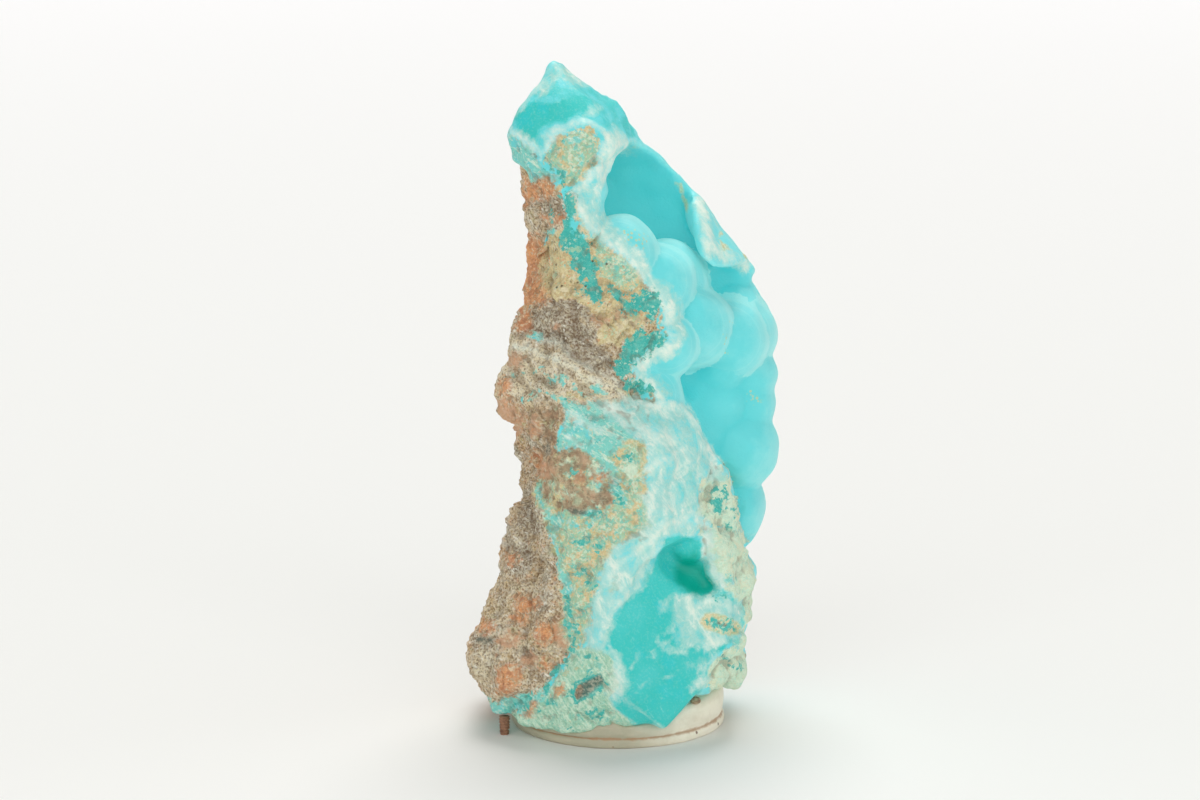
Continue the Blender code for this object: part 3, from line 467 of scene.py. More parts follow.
# Broken blocks of the slab, each the convex hull of its corners (x, y, z).
BLOCKS: dict[str, list[Point]] = {
    "tip_block": [
        (-10, 0, 107.4), (-8.8, 3, 106.3), (-12, -3, 103.8), (-14, -4, 101.5), (-16.2, -4, 99.5), (-17.2, -3, 96),
        (-16.8, -2, 93), (-16, -2, 89.5), (-15, 0, 87.5), (-9, -6, 101.5), (-5.5, -9, 97), (-11.5, -9, 94),
        (-3, -6, 99.5), (-7.5, -10, 89.5), (-0.5, -8, 94), (-7.2, 1, 104), (-5.2, 1, 102.3), (-2.8, 2, 100.8),
        (0.6, 3, 99.8), (2.4, 3, 97.1), (3.6, 4, 93.6), (-11, 6, 103.5), (-15.5, 8, 97), (-15.5, 10, 88.5),
        (-3, 9, 98.5), (3.5, 12, 91.5), (-4.5, 13, 86.5),
    ],
    "neck_upper": [
        (-15, -3, 88.5), (-14.5, -3, 86), (-14, -2.5, 83), (-13, -2, 79), (-13, -2, 77.5), (-9, -9, 89),
        (-6.5, -10, 85.5), (-5, -10.5, 81), (-8, -10, 78), (-2.5, -8, 81), (-3, -8, 86), (-14, 10, 85.5),
        (-13, 11, 76), (-3, 15, 84.5), (-1.5, 17, 74.5),
    ],
    "neck_lower": [
        (-13, -2, 78.5), (-13.5, -2, 75.5), (-14, -2, 73), (-14.5, -2, 70.5), (-15.5, -2, 68.5), (-8, -10, 78.5),
        (-10, -10.5, 70.5), (-2.5, -9.5, 78.5), (2.5, -8, 76.5), (4.5, -7.5, 71.5), (8, -7, 67), (7.5, -7, 61.5),
        (3.5, -9, 60), (3, -9, 56), (-2.5, -12, 65.5), (-13, 11, 75.5), (-14, 13, 67), (0.5, 18, 66), (3.5, 8, 54.5),
    ],
    "rim": [
        (-3.5, -7, 91.5), (-2.5, -7, 92.5), (3.8, 4, 93.9), (5.9, 6, 92.3), (8.4, 7, 89.3), (10.9, 8, 86.3), (13.4, 8, 84.2),
        (14.9, 8, 81.4), (16.9, 8, 78.9), (19.4, 8, 76.3), (21.3, 9, 74.3), (22, 10, 71.4), (3.5, 14, 88), (12, 18, 78.5),
        (20.5, 19, 69), (-3, 16, 74.5), (-2, 14, 66.5), (3.5, 0, 69), (13, 2, 68.5), (-2.5, -6, 80.5),
    ],
    "body_top": [
        (21.5, 10, 71.5), (22.5, 10, 69), (24, 11, 67.5), (24.8, 12, 65), (25, 12, 62), (24.5, 12, 59), (13, 3, 70),
        (8, 0, 69), (11.5, -1, 53), (20.5, 19, 69), (23.5, 20, 57.5), (0.5, 18, 61), (-3, 16, 73),
    ],
    "crust_body": [
        (23, 12, 59.5), (23, 12, 50.5), (23.5, 12, 42), (22.5, 12, 37), (22, 12, 32), (20.5, 10, 28), (5, -4, 65),
        (10, -3, 53.5), (11.5, -3, 37), (13, -3, 29.5), (22.5, 20, 57), (22.5, 20, 40), (19, 19, 27),
        (0.5, 19, 61), (-4.5, 19, 40.5), (2, 17, 24),
    ],
    "left_bulge": [
        (-14, -2, 71), (-15, -2, 69), (-16, -2, 67), (-16.5, -2, 63.5), (-18, -2, 60.5), (-18.5, -2, 58),
        (-19.5, -2, 54), (-19, -2, 50.5), (-17.5, -2, 47.5), (-16, -1, 45), (-15, 0, 41.5), (-14, 1, 39),
        (-9, -10, 69), (-3, -11, 66), (3.5, -10, 60.5), (-9, -14, 58.5), (-3, -15, 53.5), (-10.5, -14, 48.5),
        (-3, -16, 43), (-14.5, 13, 63.5), (-17, 14, 52), (-13, 14, 37.5), (-3, 17, 61), (-3, 17, 37.5),
    ],
    "centre_block": [
        (-9, -15, 54.5), (-3, -14, 56), (3.5, -12, 55), (8.5, -9, 54.5), (11.5, -8, 52.5), (13.5, -8, 49.5),
        (14.5, -9, 46), (14, -10, 42), (13, -11, 38), (12.5, -12, 35.5), (0, -17, 50), (6.5, -16, 48),
        (3.5, -19, 42.5), (-3, -18, 40.5), (-9, -16, 43), (7, -18, 37.5), (-1.5, -19, 32.5), (-7.5, -17, 30.5),
        (-11, -13, 36), (-13.5, -10, 41.5), (13, -13, 34), (7.5, -16, 32.5), (3.5, -18, 31), (-9.5, 6, 48.5),
        (10, 6, 48.5), (13.5, 6, 35), (-3, 6, 26.5),
    ],
    "spur": [
        (14, -7, 48), (15, -7, 46.5), (16.5, -8, 44), (17, -8, 41.5), (18, -8, 38), (19, -8, 35), (19.5, -8, 32),
        (12.5, -11, 37.5), (12.5, -12, 36), (14.5, -12, 33.5), (18.5, -9, 31.5), (15, 2, 44), (19, 3, 35.5),
        (20.5, 3, 28.5), (13.5, 3, 31),
    ],
    "front_strip": [
        (-14, -9, 41.5), (-12.5, -12, 36), (-11, -13, 29.5), (-10.5, -14, 22), (-8.5, -15, 17), (-3, -18, 15.5),
        (-1, -19, 24.5), (3.5, -18, 31), (-3, -17, 40.5), (-9, -15, 42), (-12.5, 2, 36), (-9.5, 2, 26),
        (-8, 2, 12.5), (3.5, 4, 25.5), (-1.5, 4, 10.5),
    ],
    "right_lumps": [
        (13, -12, 36), (16, -12, 34.5), (19, -8, 31.5), (20, -6, 30), (21, -5, 27.5), (21.5, -5, 23), (21, -5, 19),
        (20.5, -5, 16), (20, -5, 13.5), (13, -10, 16), (15, -12.5, 29.5), (18.5, -12, 23), (16.5, -12.5, 16.5),
        (14, -11, 24.5), (21, 12, 23.5), (21.5, 12, 13.5), (20, 10, 8.5), (12, 8, 24.5), (12, 8, 9.5),
    ],
    "right_foot": [
        (20, -5, 13.5), (20.5, -5, 11), (20.5, -5, 9), (19.5, -6, 8), (17, -9, 8.2), (15, -12, 10), (16.5, -13, 16.5),
        (13, -12, 15), (20.5, 10, 8.5), (19.5, 9, 7), (13.5, 10, 6.5), (12, 8, 9.5),
    ],
    "blue_wedge": [
        (8.5, -10.5, 31.5), (5, -13.5, 30.5), (-1, -18, 24), (-4.5, -18.5, 17.5), (-2.5, -19, 16.5), (6.5, -19, 4),
        (7, -19, 3), (10, -17.5, 6), (12.5, -15.5, 8.5), (18, -12.5, 16.5), (15, -11, 24.5), (3.5, 5, 25.5),
        (-3, 5, 12), (3.5, 2, 3), (12, 6, 7.5),
    ],
    "rock_top": [
        (-15.5, 3, 38.5), (-17, 1, 36.5), (-18, 0, 32.5), (-19, -1, 29), (-19.5, -2, 24.5), (-19.5, -3, 22),
        (-12.5, -6, 34.5), (-13.5, -8, 28.5), (-11.5, -10, 22.5), (-15.5, -9.5, 22), (-14.5, 15, 34.5),
        (-17, 17, 22.5), (-18.5, 17, 17), (-3, 17, 32.5), (-3, 17, 15.5),
    ],
    "rock_foot": [
        (-19.5, -2, 24), (-21, -3, 21.5), (-22.5, -4, 18.5), (-23.2, -5, 16), (-24.2, -5, 14), (-24.6, -5, 11),
        (-23, -6, 7.5), (-22, -6, 5), (-20.5, -7, 3.3), (-19, -8, 3), (-15.5, -8, 23), (-11.5, -10, 22.5),
        (-15.5, -11.5, 19), (-19, -12, 14.5), (-12.5, -14, 13.5), (-16, -13.5, 8.5), (-8.5, -13.5, 17),
        (-18.5, 17, 17), (-21.5, 15, 9), (-19, 11, 3.5), (-3, 17, 15.5), (-3, 13, 3),
    ],
    "green_foot": [
        (-10.5, -13, 21.5), (-8, -15, 17), (-3, -18.5, 15.5), (3.5, -18.5, 8.5), (6, -18, 4.5), (3, -16, 3.5),
        (-2, -17, 3.5), (-7.5, -16, 2.5), (-12, -14, 2.5), (-17, -12, 2.8), (-19, -9, 3.2), (-12.5, -15.5, 9),
        (-6, -17.5, 10), (-11, -12, 29.5), (-16, 10, 4), (-3, 10, 3), (5.5, 8, 3), (-9.5, 6, 18.5),
    ],
    "back_crown": [
        (-7, 5, 97), (1, 7, 94.5), (3.5, 12, 91), (-4, 15, 87), (8, 15.5, 84), (-9, 12, 90), (3, 16.5, 76),
        (-3, 8, 90), (8, 11, 86), (-8, 15, 78),
    ],
    "back_upper": [
        (-15.2, 8, 91), (-13.4, 9, 83), (-12.8, 10, 76), (-13.4, 2, 72), (-14.3, 2, 66), (-14.5, 13.5, 62),
        (-4, 14.5, 90), (6, 16.5, 83), (12, 18.5, 72), (-2, 18, 62), (10, 19.5, 60), (-6, 16.5, 76), (-13.2, 1, 83),
        (-14.9, 0, 90), (2, 6, 62), (-4, 4, 88),
    ],
    "back_lower": [
        (-13.5, 14.5, 64), (6, 19.6, 66), (16, 20, 60), (18, 20, 44), (12, 20.5, 28), (-4, 18.4, 28), (-14.6, 14, 30),
        (-14.8, 2, 44), (-13.3, -1.5, 41.5), (-13.8, -1, 37), (-15.5, 9, 36), (-16.8, 14.6, 50), (-4, 19.5, 46),
        (4, 8, 30), (4, 8, 62),
    ],
    "back_foot": [
        (-14, 17, 30), (2, 19, 32), (16, 18.5, 30), (20.5, 14, 29), (20.8, 14, 20), (19.5, 13, 9.5), (15, 15, 8),
        (0, 16.5, 6), (-15, 15, 10), (0, 8, 18), (19.5, 4, 27), (19.5, 4, 12),
    ],
}

# Blocks left standing over the hollow: the broken knob at the end of its rim.
RIM_BLOCKS: dict[str, list[Point]] = {
    "knob": [
        (11.6, 6, 85.4), (12.2, 1.5, 81), (13.5, -1.5, 76), (15, -1.5, 74.5), (19, 2, 74), (21.3, 5, 74.6),
        (18.8, 6, 76.6), (14.6, 6, 81.8), (13.2, 12, 83.2), (20.2, 14, 72.6), (10.6, 12, 82), (14, 12, 78),
    ],
}

# Ellipsoids that scoop the hollow under the tip and the cavity above the wedge:
# centre, half sizes, and the turn about Y in degrees.
HOLLOWS = [
    ((7.2, 0.0, 82.6), (15.5, 9.0, 9.2), 33),
    ((18.5, 0.5, 70.5), (5.5, 8.0, 4.2), 20),
    ((11.2, -13.5, 28.6), (5.4, 4.7, 3.4), 25),
    ((13.6, -14.0, 25.6), (2.6, 4.9, 2.6), 0),
    ((12.4, -1.4, 56.8), (3.2, 3.4, 4.4), 0),
]

# Botryoidal lobes (x, y, z, radius).
FRONT_LOBES = [
    (0, -4, 77, 6), (6, -1.5, 72, 6), (7.5, 3, 71.5, 6.5), (11.5, 1.5, 64.5, 6.5), (17.5, 6, 61.5, 6.5),
    (5.5, -4, 68.5, 4.5), (7.5, -4, 62.5, 5), (5, -5, 54.5, 5), (19.6, 9, 62, 6), (20, 9, 55.5, 5.5),
    (20, 9, 50.5, 5.5), (18.9, 8, 43.5, 7.1), (17.8, 8, 33.5, 6.1), (15.8, 4.3, 61.3, 4.5), (16.2, 5, 57, 4.2),
    (9, 6, 46.5, 9), (9.6, 6.6, 38, 9), (15, 6.5, 51, 6), (14.5, 5.5, 31.5, 6),
]
CAVITY_LOBES = [(11.3, -9.8, 31.4, 3.0), (15.6, -10.2, 27.2, 2.0), (15.8, -10.6, 30.2, 2.2)]
# Lobes and lumps that close the gaps between the blocks (x, y, z, radius).
GAP_LOBES = [(-5.2, -7.2, 90.3, 2.8), (-4.2, -6.6, 87.4, 2.4), (-0.4, 11.2, 89.6, 4.6), (10.9, -6.2, 27.7, 3.2),
             (12.8, -6.8, 28.6, 3.0), (12.6, -6.4, 25.4, 3.0), (18.3, 7.5, 30.8, 4.2)]
GAP_LUMPS = [(13.1, -12.3, 9.6, 2.2), (15.4, -10.6, 10.4, 2.7), (18.0, -7.0, 10.0, 2.7), (17.2, -9.3, 14.8, 3.0)]

# Rock lumps and rings that stand out of the broken faces (x, y, z, radius).
ROCK_LUMPS = [
    (-3.5, -15.2, 44.5, 2.6), (2, -15.7, 45.5, 2.3), (1, -15.7, 48.8, 1.9), (-5.5, -15.8, 38.5, 2.2),
    (-8.5, -13.5, 44.5, 2.5), (-11.4, -9.8, 51.7, 2.3), (-10.6, -10.3, 55.2, 2.6), (16.9, -8.8, 29.8, 2.6),
    (19, -6.7, 24.8, 2.4), (18.4, -6.7, 19.3, 2.8), (16.8, -7.8, 11.6, 3.1), (16, -10.6, 19.5, 2.4),
    (-17.6, -8.2, 16.8, 3.2), (-14.5, -8.7, 20.7, 2.6), (-11.6, -12.7, 17, 2.6), (-20.2, -6.8, 11.5, 3),
    (-16, -11.4, 10.2, 3.5), (-15.6, -1.7, 31.6, 2.7), (-13.3, -6.7, 27, 2.4), (-14.6, -3.7, 61.2, 2.8),
    (-15.6, -3.4, 56, 2.8), (-8.2, -8.2, 65.6, 3), (-7, -14.3, 30.5, 2.3), (-5, -15.7, 24.5, 2.3),
    (-6.6, -6.4, 93.8, 4),
]

# Flat broken faces of solid turquoise, where the rock's relief dies away (x, y, z, radius).
FLAT_SPOTS = [(-8, -5, 100, 9), (6, -18, 16, 11), (7, -18.5, 6, 6), (0, -18, 20, 6), (16.5, 2, 79, 6.5)]
# Edges that lie deeper than their relief would leave them (x, y, z, radius), and how much deeper.
SUNK_EDGES = [((-15, 0, 84, 9), 1.5), ((-15, 2, 75, 9.5), 2.3), ((-15.5, 2, 43.5, 9), 2.3), ((-20, 0, 30, 6), 0.8),
              ((-20.5, 0, 22.5, 4), 0.5), ((-4.5, 1, 104, 5.5), 0.5), ((-13.5, -2, 104, 4.5), 0.3),
              ((22, -3, 25.5, 5), 0.7), ((19, 6, 77, 7), 0.6)]
# Lobes that carry the crust round the unseen right side, in staggered rows.
SIDE_LOBE_ROWS = (30, 35.5, 41.5, 47, 53, 59, 65)
SIDE_LOBE_COLUMNS = (9.5, 14.0, 18.0)
SIDE_LOBE_REACH = 23.5
SIDE_LOBE_RADII = (3.4, 5.6)

PEG_CENTRE = (-18.2, -9.0)
PEG_HEIGHT = 3.0
PEG_RADIUS = 0.95


def linear(colour: Colour) -> tuple[float, float, float, float]:
    """Scene-linear colour of an sRGB one.

    Args:
        colour: Red, green and blue from 0 to 255.

    Returns:
        Red, green, blue and an alpha of 1.
    """
    parts = [value / 255.0 for value in colour]
    lit = [part / 12.92 if part <= 0.04045 else ((part + 0.055) / 1.055) ** 2.4 for part in parts]
    return (*lit, 1.0)


def stepped(values: np.ndarray, low: float, high: float) -> np.ndarray:
    """Smooth step of an array from 0 at one value to 1 at another.

    Args:
        values: The array.
        low: Where the step starts.
        high: Where it ends.

    Returns:
        The step at each value.
    """
    share = np.clip((values - low) / (high - low), 0.0, 1.0)
    return share * share * (3.0 - 2.0 * share)


def inside(points: np.ndarray, outline: Outline) -> np.ndarray:
    """How far points of the view are inside an outline, and below 0 how far outside it.

    Args:
        points: Rows of right and down in the view.
        outline: The outline's corners.

    Returns:
        One distance a point, in the view's units.
    """
    across, down = points.T
    nearest = np.full(len(points), np.inf)
    odd = np.zeros(len(points), bool)
    corners = np.array(outline, float)
    for start, end in zip(corners, np.roll(corners, -1, axis=0)):
        edge = end - start
        local = points - start
        along = np.clip(local @ edge / max(edge @ edge, 1e-9), 0.0, 1.0)
        nearest = np.minimum(nearest, np.hypot(local[:, 0] - along * edge[0], local[:, 1] - along * edge[1]))
        crossed = (start[1] > down) != (end[1] > down)
        reach = start[0] + (down - start[1]) * edge[0] / (edge[1] if edge[1] else 1e-9)
        odd ^= crossed & (across < reach)
    return np.where(odd, nearest, -nearest)


class Value:
    """A number that a node graph works out at each point, with the usual arithmetic."""

    def __init__(self, graph: "Graph", socket: bpy.types.NodeSocket) -> None:
        """Wrap an output of a node in a graph."""
        self.graph = graph
        self.socket = socket

    def _maths(self, operation: str, *terms: "Value | float", clamp: bool = False) -> "Value":
        """Result of a maths node on some terms."""
        node = self.graph.node(
            "ShaderNodeMath", {"operation": operation, "use_clamp": clamp}, dict(enumerate(terms)))
        return Value(self.graph, node.outputs[0])

    def __add__(self, other: "Value | float") -> "Value":
        """Sum."""
        return self._maths("ADD", self, other)

    def __radd__(self, other: float) -> "Value":
        """Sum with the number first."""
        return self._maths("ADD", other, self)

    def __sub__(self, other: "Value | float") -> "Value":
        """Difference."""
        return self._maths("SUBTRACT", self, other)

    def __rsub__(self, other: float) -> "Value":
        """Difference with the number first."""
        return self._maths("SUBTRACT", other, self)

    def __mul__(self, other: "Value | float") -> "Value":
        """Product."""
        return self._maths("MULTIPLY", self, other)

    def __rmul__(self, other: float) -> "Value":
        """Product with the number first."""
        return self._maths("MULTIPLY", other, self)

    def __truediv__(self, other: "Value | float") -> "Value":
        """Quotient."""
        return self._maths("DIVIDE", self, other)

    def __rtruediv__(self, other: float) -> "Value":
        """Quotient with the number first."""
        return self._maths("DIVIDE", other, self)

    def maximum(self, other: "Value | float") -> "Value":
        """The larger of the two."""
        return self._maths("MAXIMUM", self, other)

    def minimum(self, other: "Value | float") -> "Value":
        """The smaller of the two."""
        return self._maths("MINIMUM", self, other)

    def size(self) -> "Value":
        """Its size without its sign."""
        return self._maths("ABSOLUTE", self)

    def over(self, edge: "Value | float", blur: float) -> "Value":
        """Share from 0 to 1 by which it is over an edge that is blurred.

        Args:
            edge: The value at which the share is a half.
            blur: The breadth of the change.

        Returns:
            The share.
        """
        risen = (self - edge) / blur
        return risen._maths("ADD", risen, 0.5, clamp=True)

    def under(self, edge: "Value | float", blur: float) -> "Value":
        """Share from 0 to 1 by which it is under an edge that is blurred."""
        return 1.0 - self.over(edge, blur)


class Graph:
    """The nodes of one material, world or geometry modifier."""

    def __init__(self, tree: bpy.types.NodeTree) -> None:
        """Start an empty graph in a node tree."""
        self.tree = tree
        tree.nodes.clear()

    def node(self, kind: str, settings: dict[str, object] | None = None,
             inputs: dict[object, object] | None = None) -> bpy.types.Node:
        """Add a node.

        Args:
            kind: Its type.
            settings: Its properties.
            inputs: A value or a link for each input, by place or identifier.

        Returns:
            The node.
        """
        node = self.tree.nodes.new(kind)
        for key, value in (settings or {}).items():
            setattr(node, key, value)
        for key, value in (inputs or {}).items():
            socket = self.find(node.inputs, key)
            source = value.socket if isinstance(value, Value) else value
            if isinstance(source, bpy.types.NodeSocket):
                self.tree.links.new(source, socket)
            else:
                socket.default_value = source
        return node

    @staticmethod
    def find(sockets: bpy.types.bpy_prop_collection, key: object) -> bpy.types.NodeSocket:
        """Socket of a node by its place or identifier."""
        if isinstance(key, int):
            return sockets[key]
        return next(socket for socket in sockets if socket.identifier == key)

    def attribute(self, name: str) -> Value:
        """Number that the mesh carries at each point."""
        return Value(self, self.node("ShaderNodeAttribute", {"attribute_name": name}).outputs["Fac"])

    def place(self, offset: float, turn: float, stretch: Point) -> bpy.types.NodeSocket:
        """Place on the object in millimetres.

        Args:
            offset: Which of many patterns is laid there.
            turn: Turn about Y before the stretch, in degrees.
            stretch: How much denser a pattern is along each turned axis.

        Returns:
            The vector.
        """
        at = self.node("ShaderNodeTexCoord").outputs["Object"]
        turned = self.node("ShaderNodeVectorRotate", {"rotation_type": "Y_AXIS"},
                           {"Vector": at, "Angle": math.radians(turn)}).outputs[0]
        scale = tuple(part / MM for part in stretch)
        shift = (37.0 * offset, 61.0 * offset, 83.0 * offset)
        return self.node("ShaderNodeVectorMath", {"operation": "MULTIPLY_ADD"}, {0: turned, 1: scale, 2: shift}).outputs[0]

    def noise(self, pitch: float, detail: float = 4.0, rough: float = 0.55, offset: float = 0.0,
              turn: float = 0.0, stretch: Point = (1.0, 1.0, 1.0), bend: float = 0.0) -> Value:
        """Cloudy noise about 0, mostly within 1.

        Args:
            pitch: Size of its largest clouds in millimetres.
            detail: Number of finer layers.
            rough: Weight of each finer layer.
            offset: Which of many noises it is.
            turn: Turn about Y, in degrees.
            stretch: How much denser it is along each axis.
            bend: How much its clouds curl.

        Returns:
            The noise.
        """
        inputs = {"Vector": self.place(offset, turn, stretch), "Scale": 1.0 / pitch, "Detail": detail,
                  "Roughness": rough, "Distortion": bend}
        return (Value(self, self.node("ShaderNodeTexNoise", None, inputs).outputs[0]) - 0.5) * 4.5

    def cells(self, pitch: float, feature: str = "F1", offset: float = 0.0, turn: float = 0.0,
              stretch: Point = (1.0, 1.0, 1.0)) -> tuple[Value, Value]:
        """Grains packed together.

        Args:
            pitch: Size of a grain in millimetres.
            feature: Which distance of the pattern is read.
            offset: Which of many patterns it is.
            turn: Turn about Y, in degrees.
            stretch: How much denser it is along each axis.

        Returns:
            The distance from a grain's middle in pitches, and a random number of the grain.
        """
        inputs = {"Vector": self.place(offset, turn, stretch), "Scale": 1.0 / pitch}
        node = self.node("ShaderNodeTexVoronoi", {"feature": feature}, inputs)
        split = self.node("ShaderNodeSeparateColor", None, {0: node.outputs["Color"]})
        return Value(self, node.outputs["Distance"]), Value(self, split.outputs[0])

    def mix(self, share: Value | float, under: object, over: object) -> bpy.types.NodeSocket:
        """Colour between two others.

        Args:
            share: Share of the second.
            under: The first colour, as a socket or in sRGB.
            over: The second.

        Returns:
            The mixed colour.
        """
        colours = [linear(colour) if isinstance(colour, tuple) else colour for colour in (under, over)]
        node = self.node("ShaderNodeMix", {"data_type": "RGBA"},
                         {"Factor_Float": share, "A_Color": colours[0], "B_Color": colours[1]})
        return self.find(node.outputs, "Result_Color")

    def layers(self, base: object, *coats: tuple[Value, object]) -> bpy.types.NodeSocket:
        """Colour of a base under coats, each of them a share and a colour."""
        for share, colour in coats:
            base = self.mix(share, base, colour)
        return base

    def bump(self, height: Value, depth: float, strength: float) -> bpy.types.NodeSocket:
        """Normal of a surface raised by a height from 0 to 1, to a depth in millimetres."""
        return self.node("ShaderNodeBump", None,
                         {"Strength": strength, "Distance": depth * MM, "Height": height}).outputs[0]

    def principled(self, **inputs: object) -> bpy.types.NodeSocket:
        """Principled shader, with its inputs by name and _ for a space."""
        named = {key.replace("_", " "): value for key, value in inputs.items()}
        return self.node("ShaderNodeBsdfPrincipled", None, named).outputs[0]


def new_material(name: str) -> tuple[bpy.types.Material, Graph]:
    """Make an empty material.

    Args:
        name: Its name.

    Returns:
        The material and its graph.
    """
    material = bpy.data.materials.new(name)
    material.use_nodes = True
    return material, Graph(material.node_tree)


@dataclass(frozen=True)
class Grit:
    """The noises that the stone's colours share, about 0 and mostly within 1, and its grains."""

    wide: Value
    broad: Value
    cloud: Value
    drift: Value
    mottle: Value
    fine: Value
    fibre: Value
    needle: Value
    swirl: Value
    grain: tuple[Value, Value]
    crumb: tuple[Value, Value]
    flake: tuple[Value, Value]

    @classmethod
    def of(cls, graph: Graph) -> "Grit":
        """Add the noises to a graph."""
        return cls(
            wide=graph.noise(13.0, 3.0, 0.6, 41.0), broad=graph.noise(4.6, 3.0, 0.55, 1.0), cloud=graph.noise(2.1, 5.0, 0.62, 2.0),
            drift=graph.noise(2.7, 5.0, 0.62, 3.0), mottle=graph.noise(0.95, 4.0, 0.68, 4.0),
            fine=graph.noise(0.36, 2.0, 0.6, 5.0), fibre=graph.noise(0.9, 4.0, 0.64, 6.0, -30.0, (0.22, 0.6, 1.3)),
            needle=graph.noise(0.7, 4.0, 0.68, 7.0, 35.0, (1.4, 1.0, 0.3)),
            swirl=graph.noise(2.4, 6.0, 0.68, 10.0, 20.0, (1.0, 1.0, 0.7), 0.5),
            grain=graph.cells(0.6, offset=8.0), crumb=graph.cells(0.36, offset=9.0),
            flake=graph.cells(0.5, "F1", 12.0, -30.0, (0.42, 1.0, 1.25)))


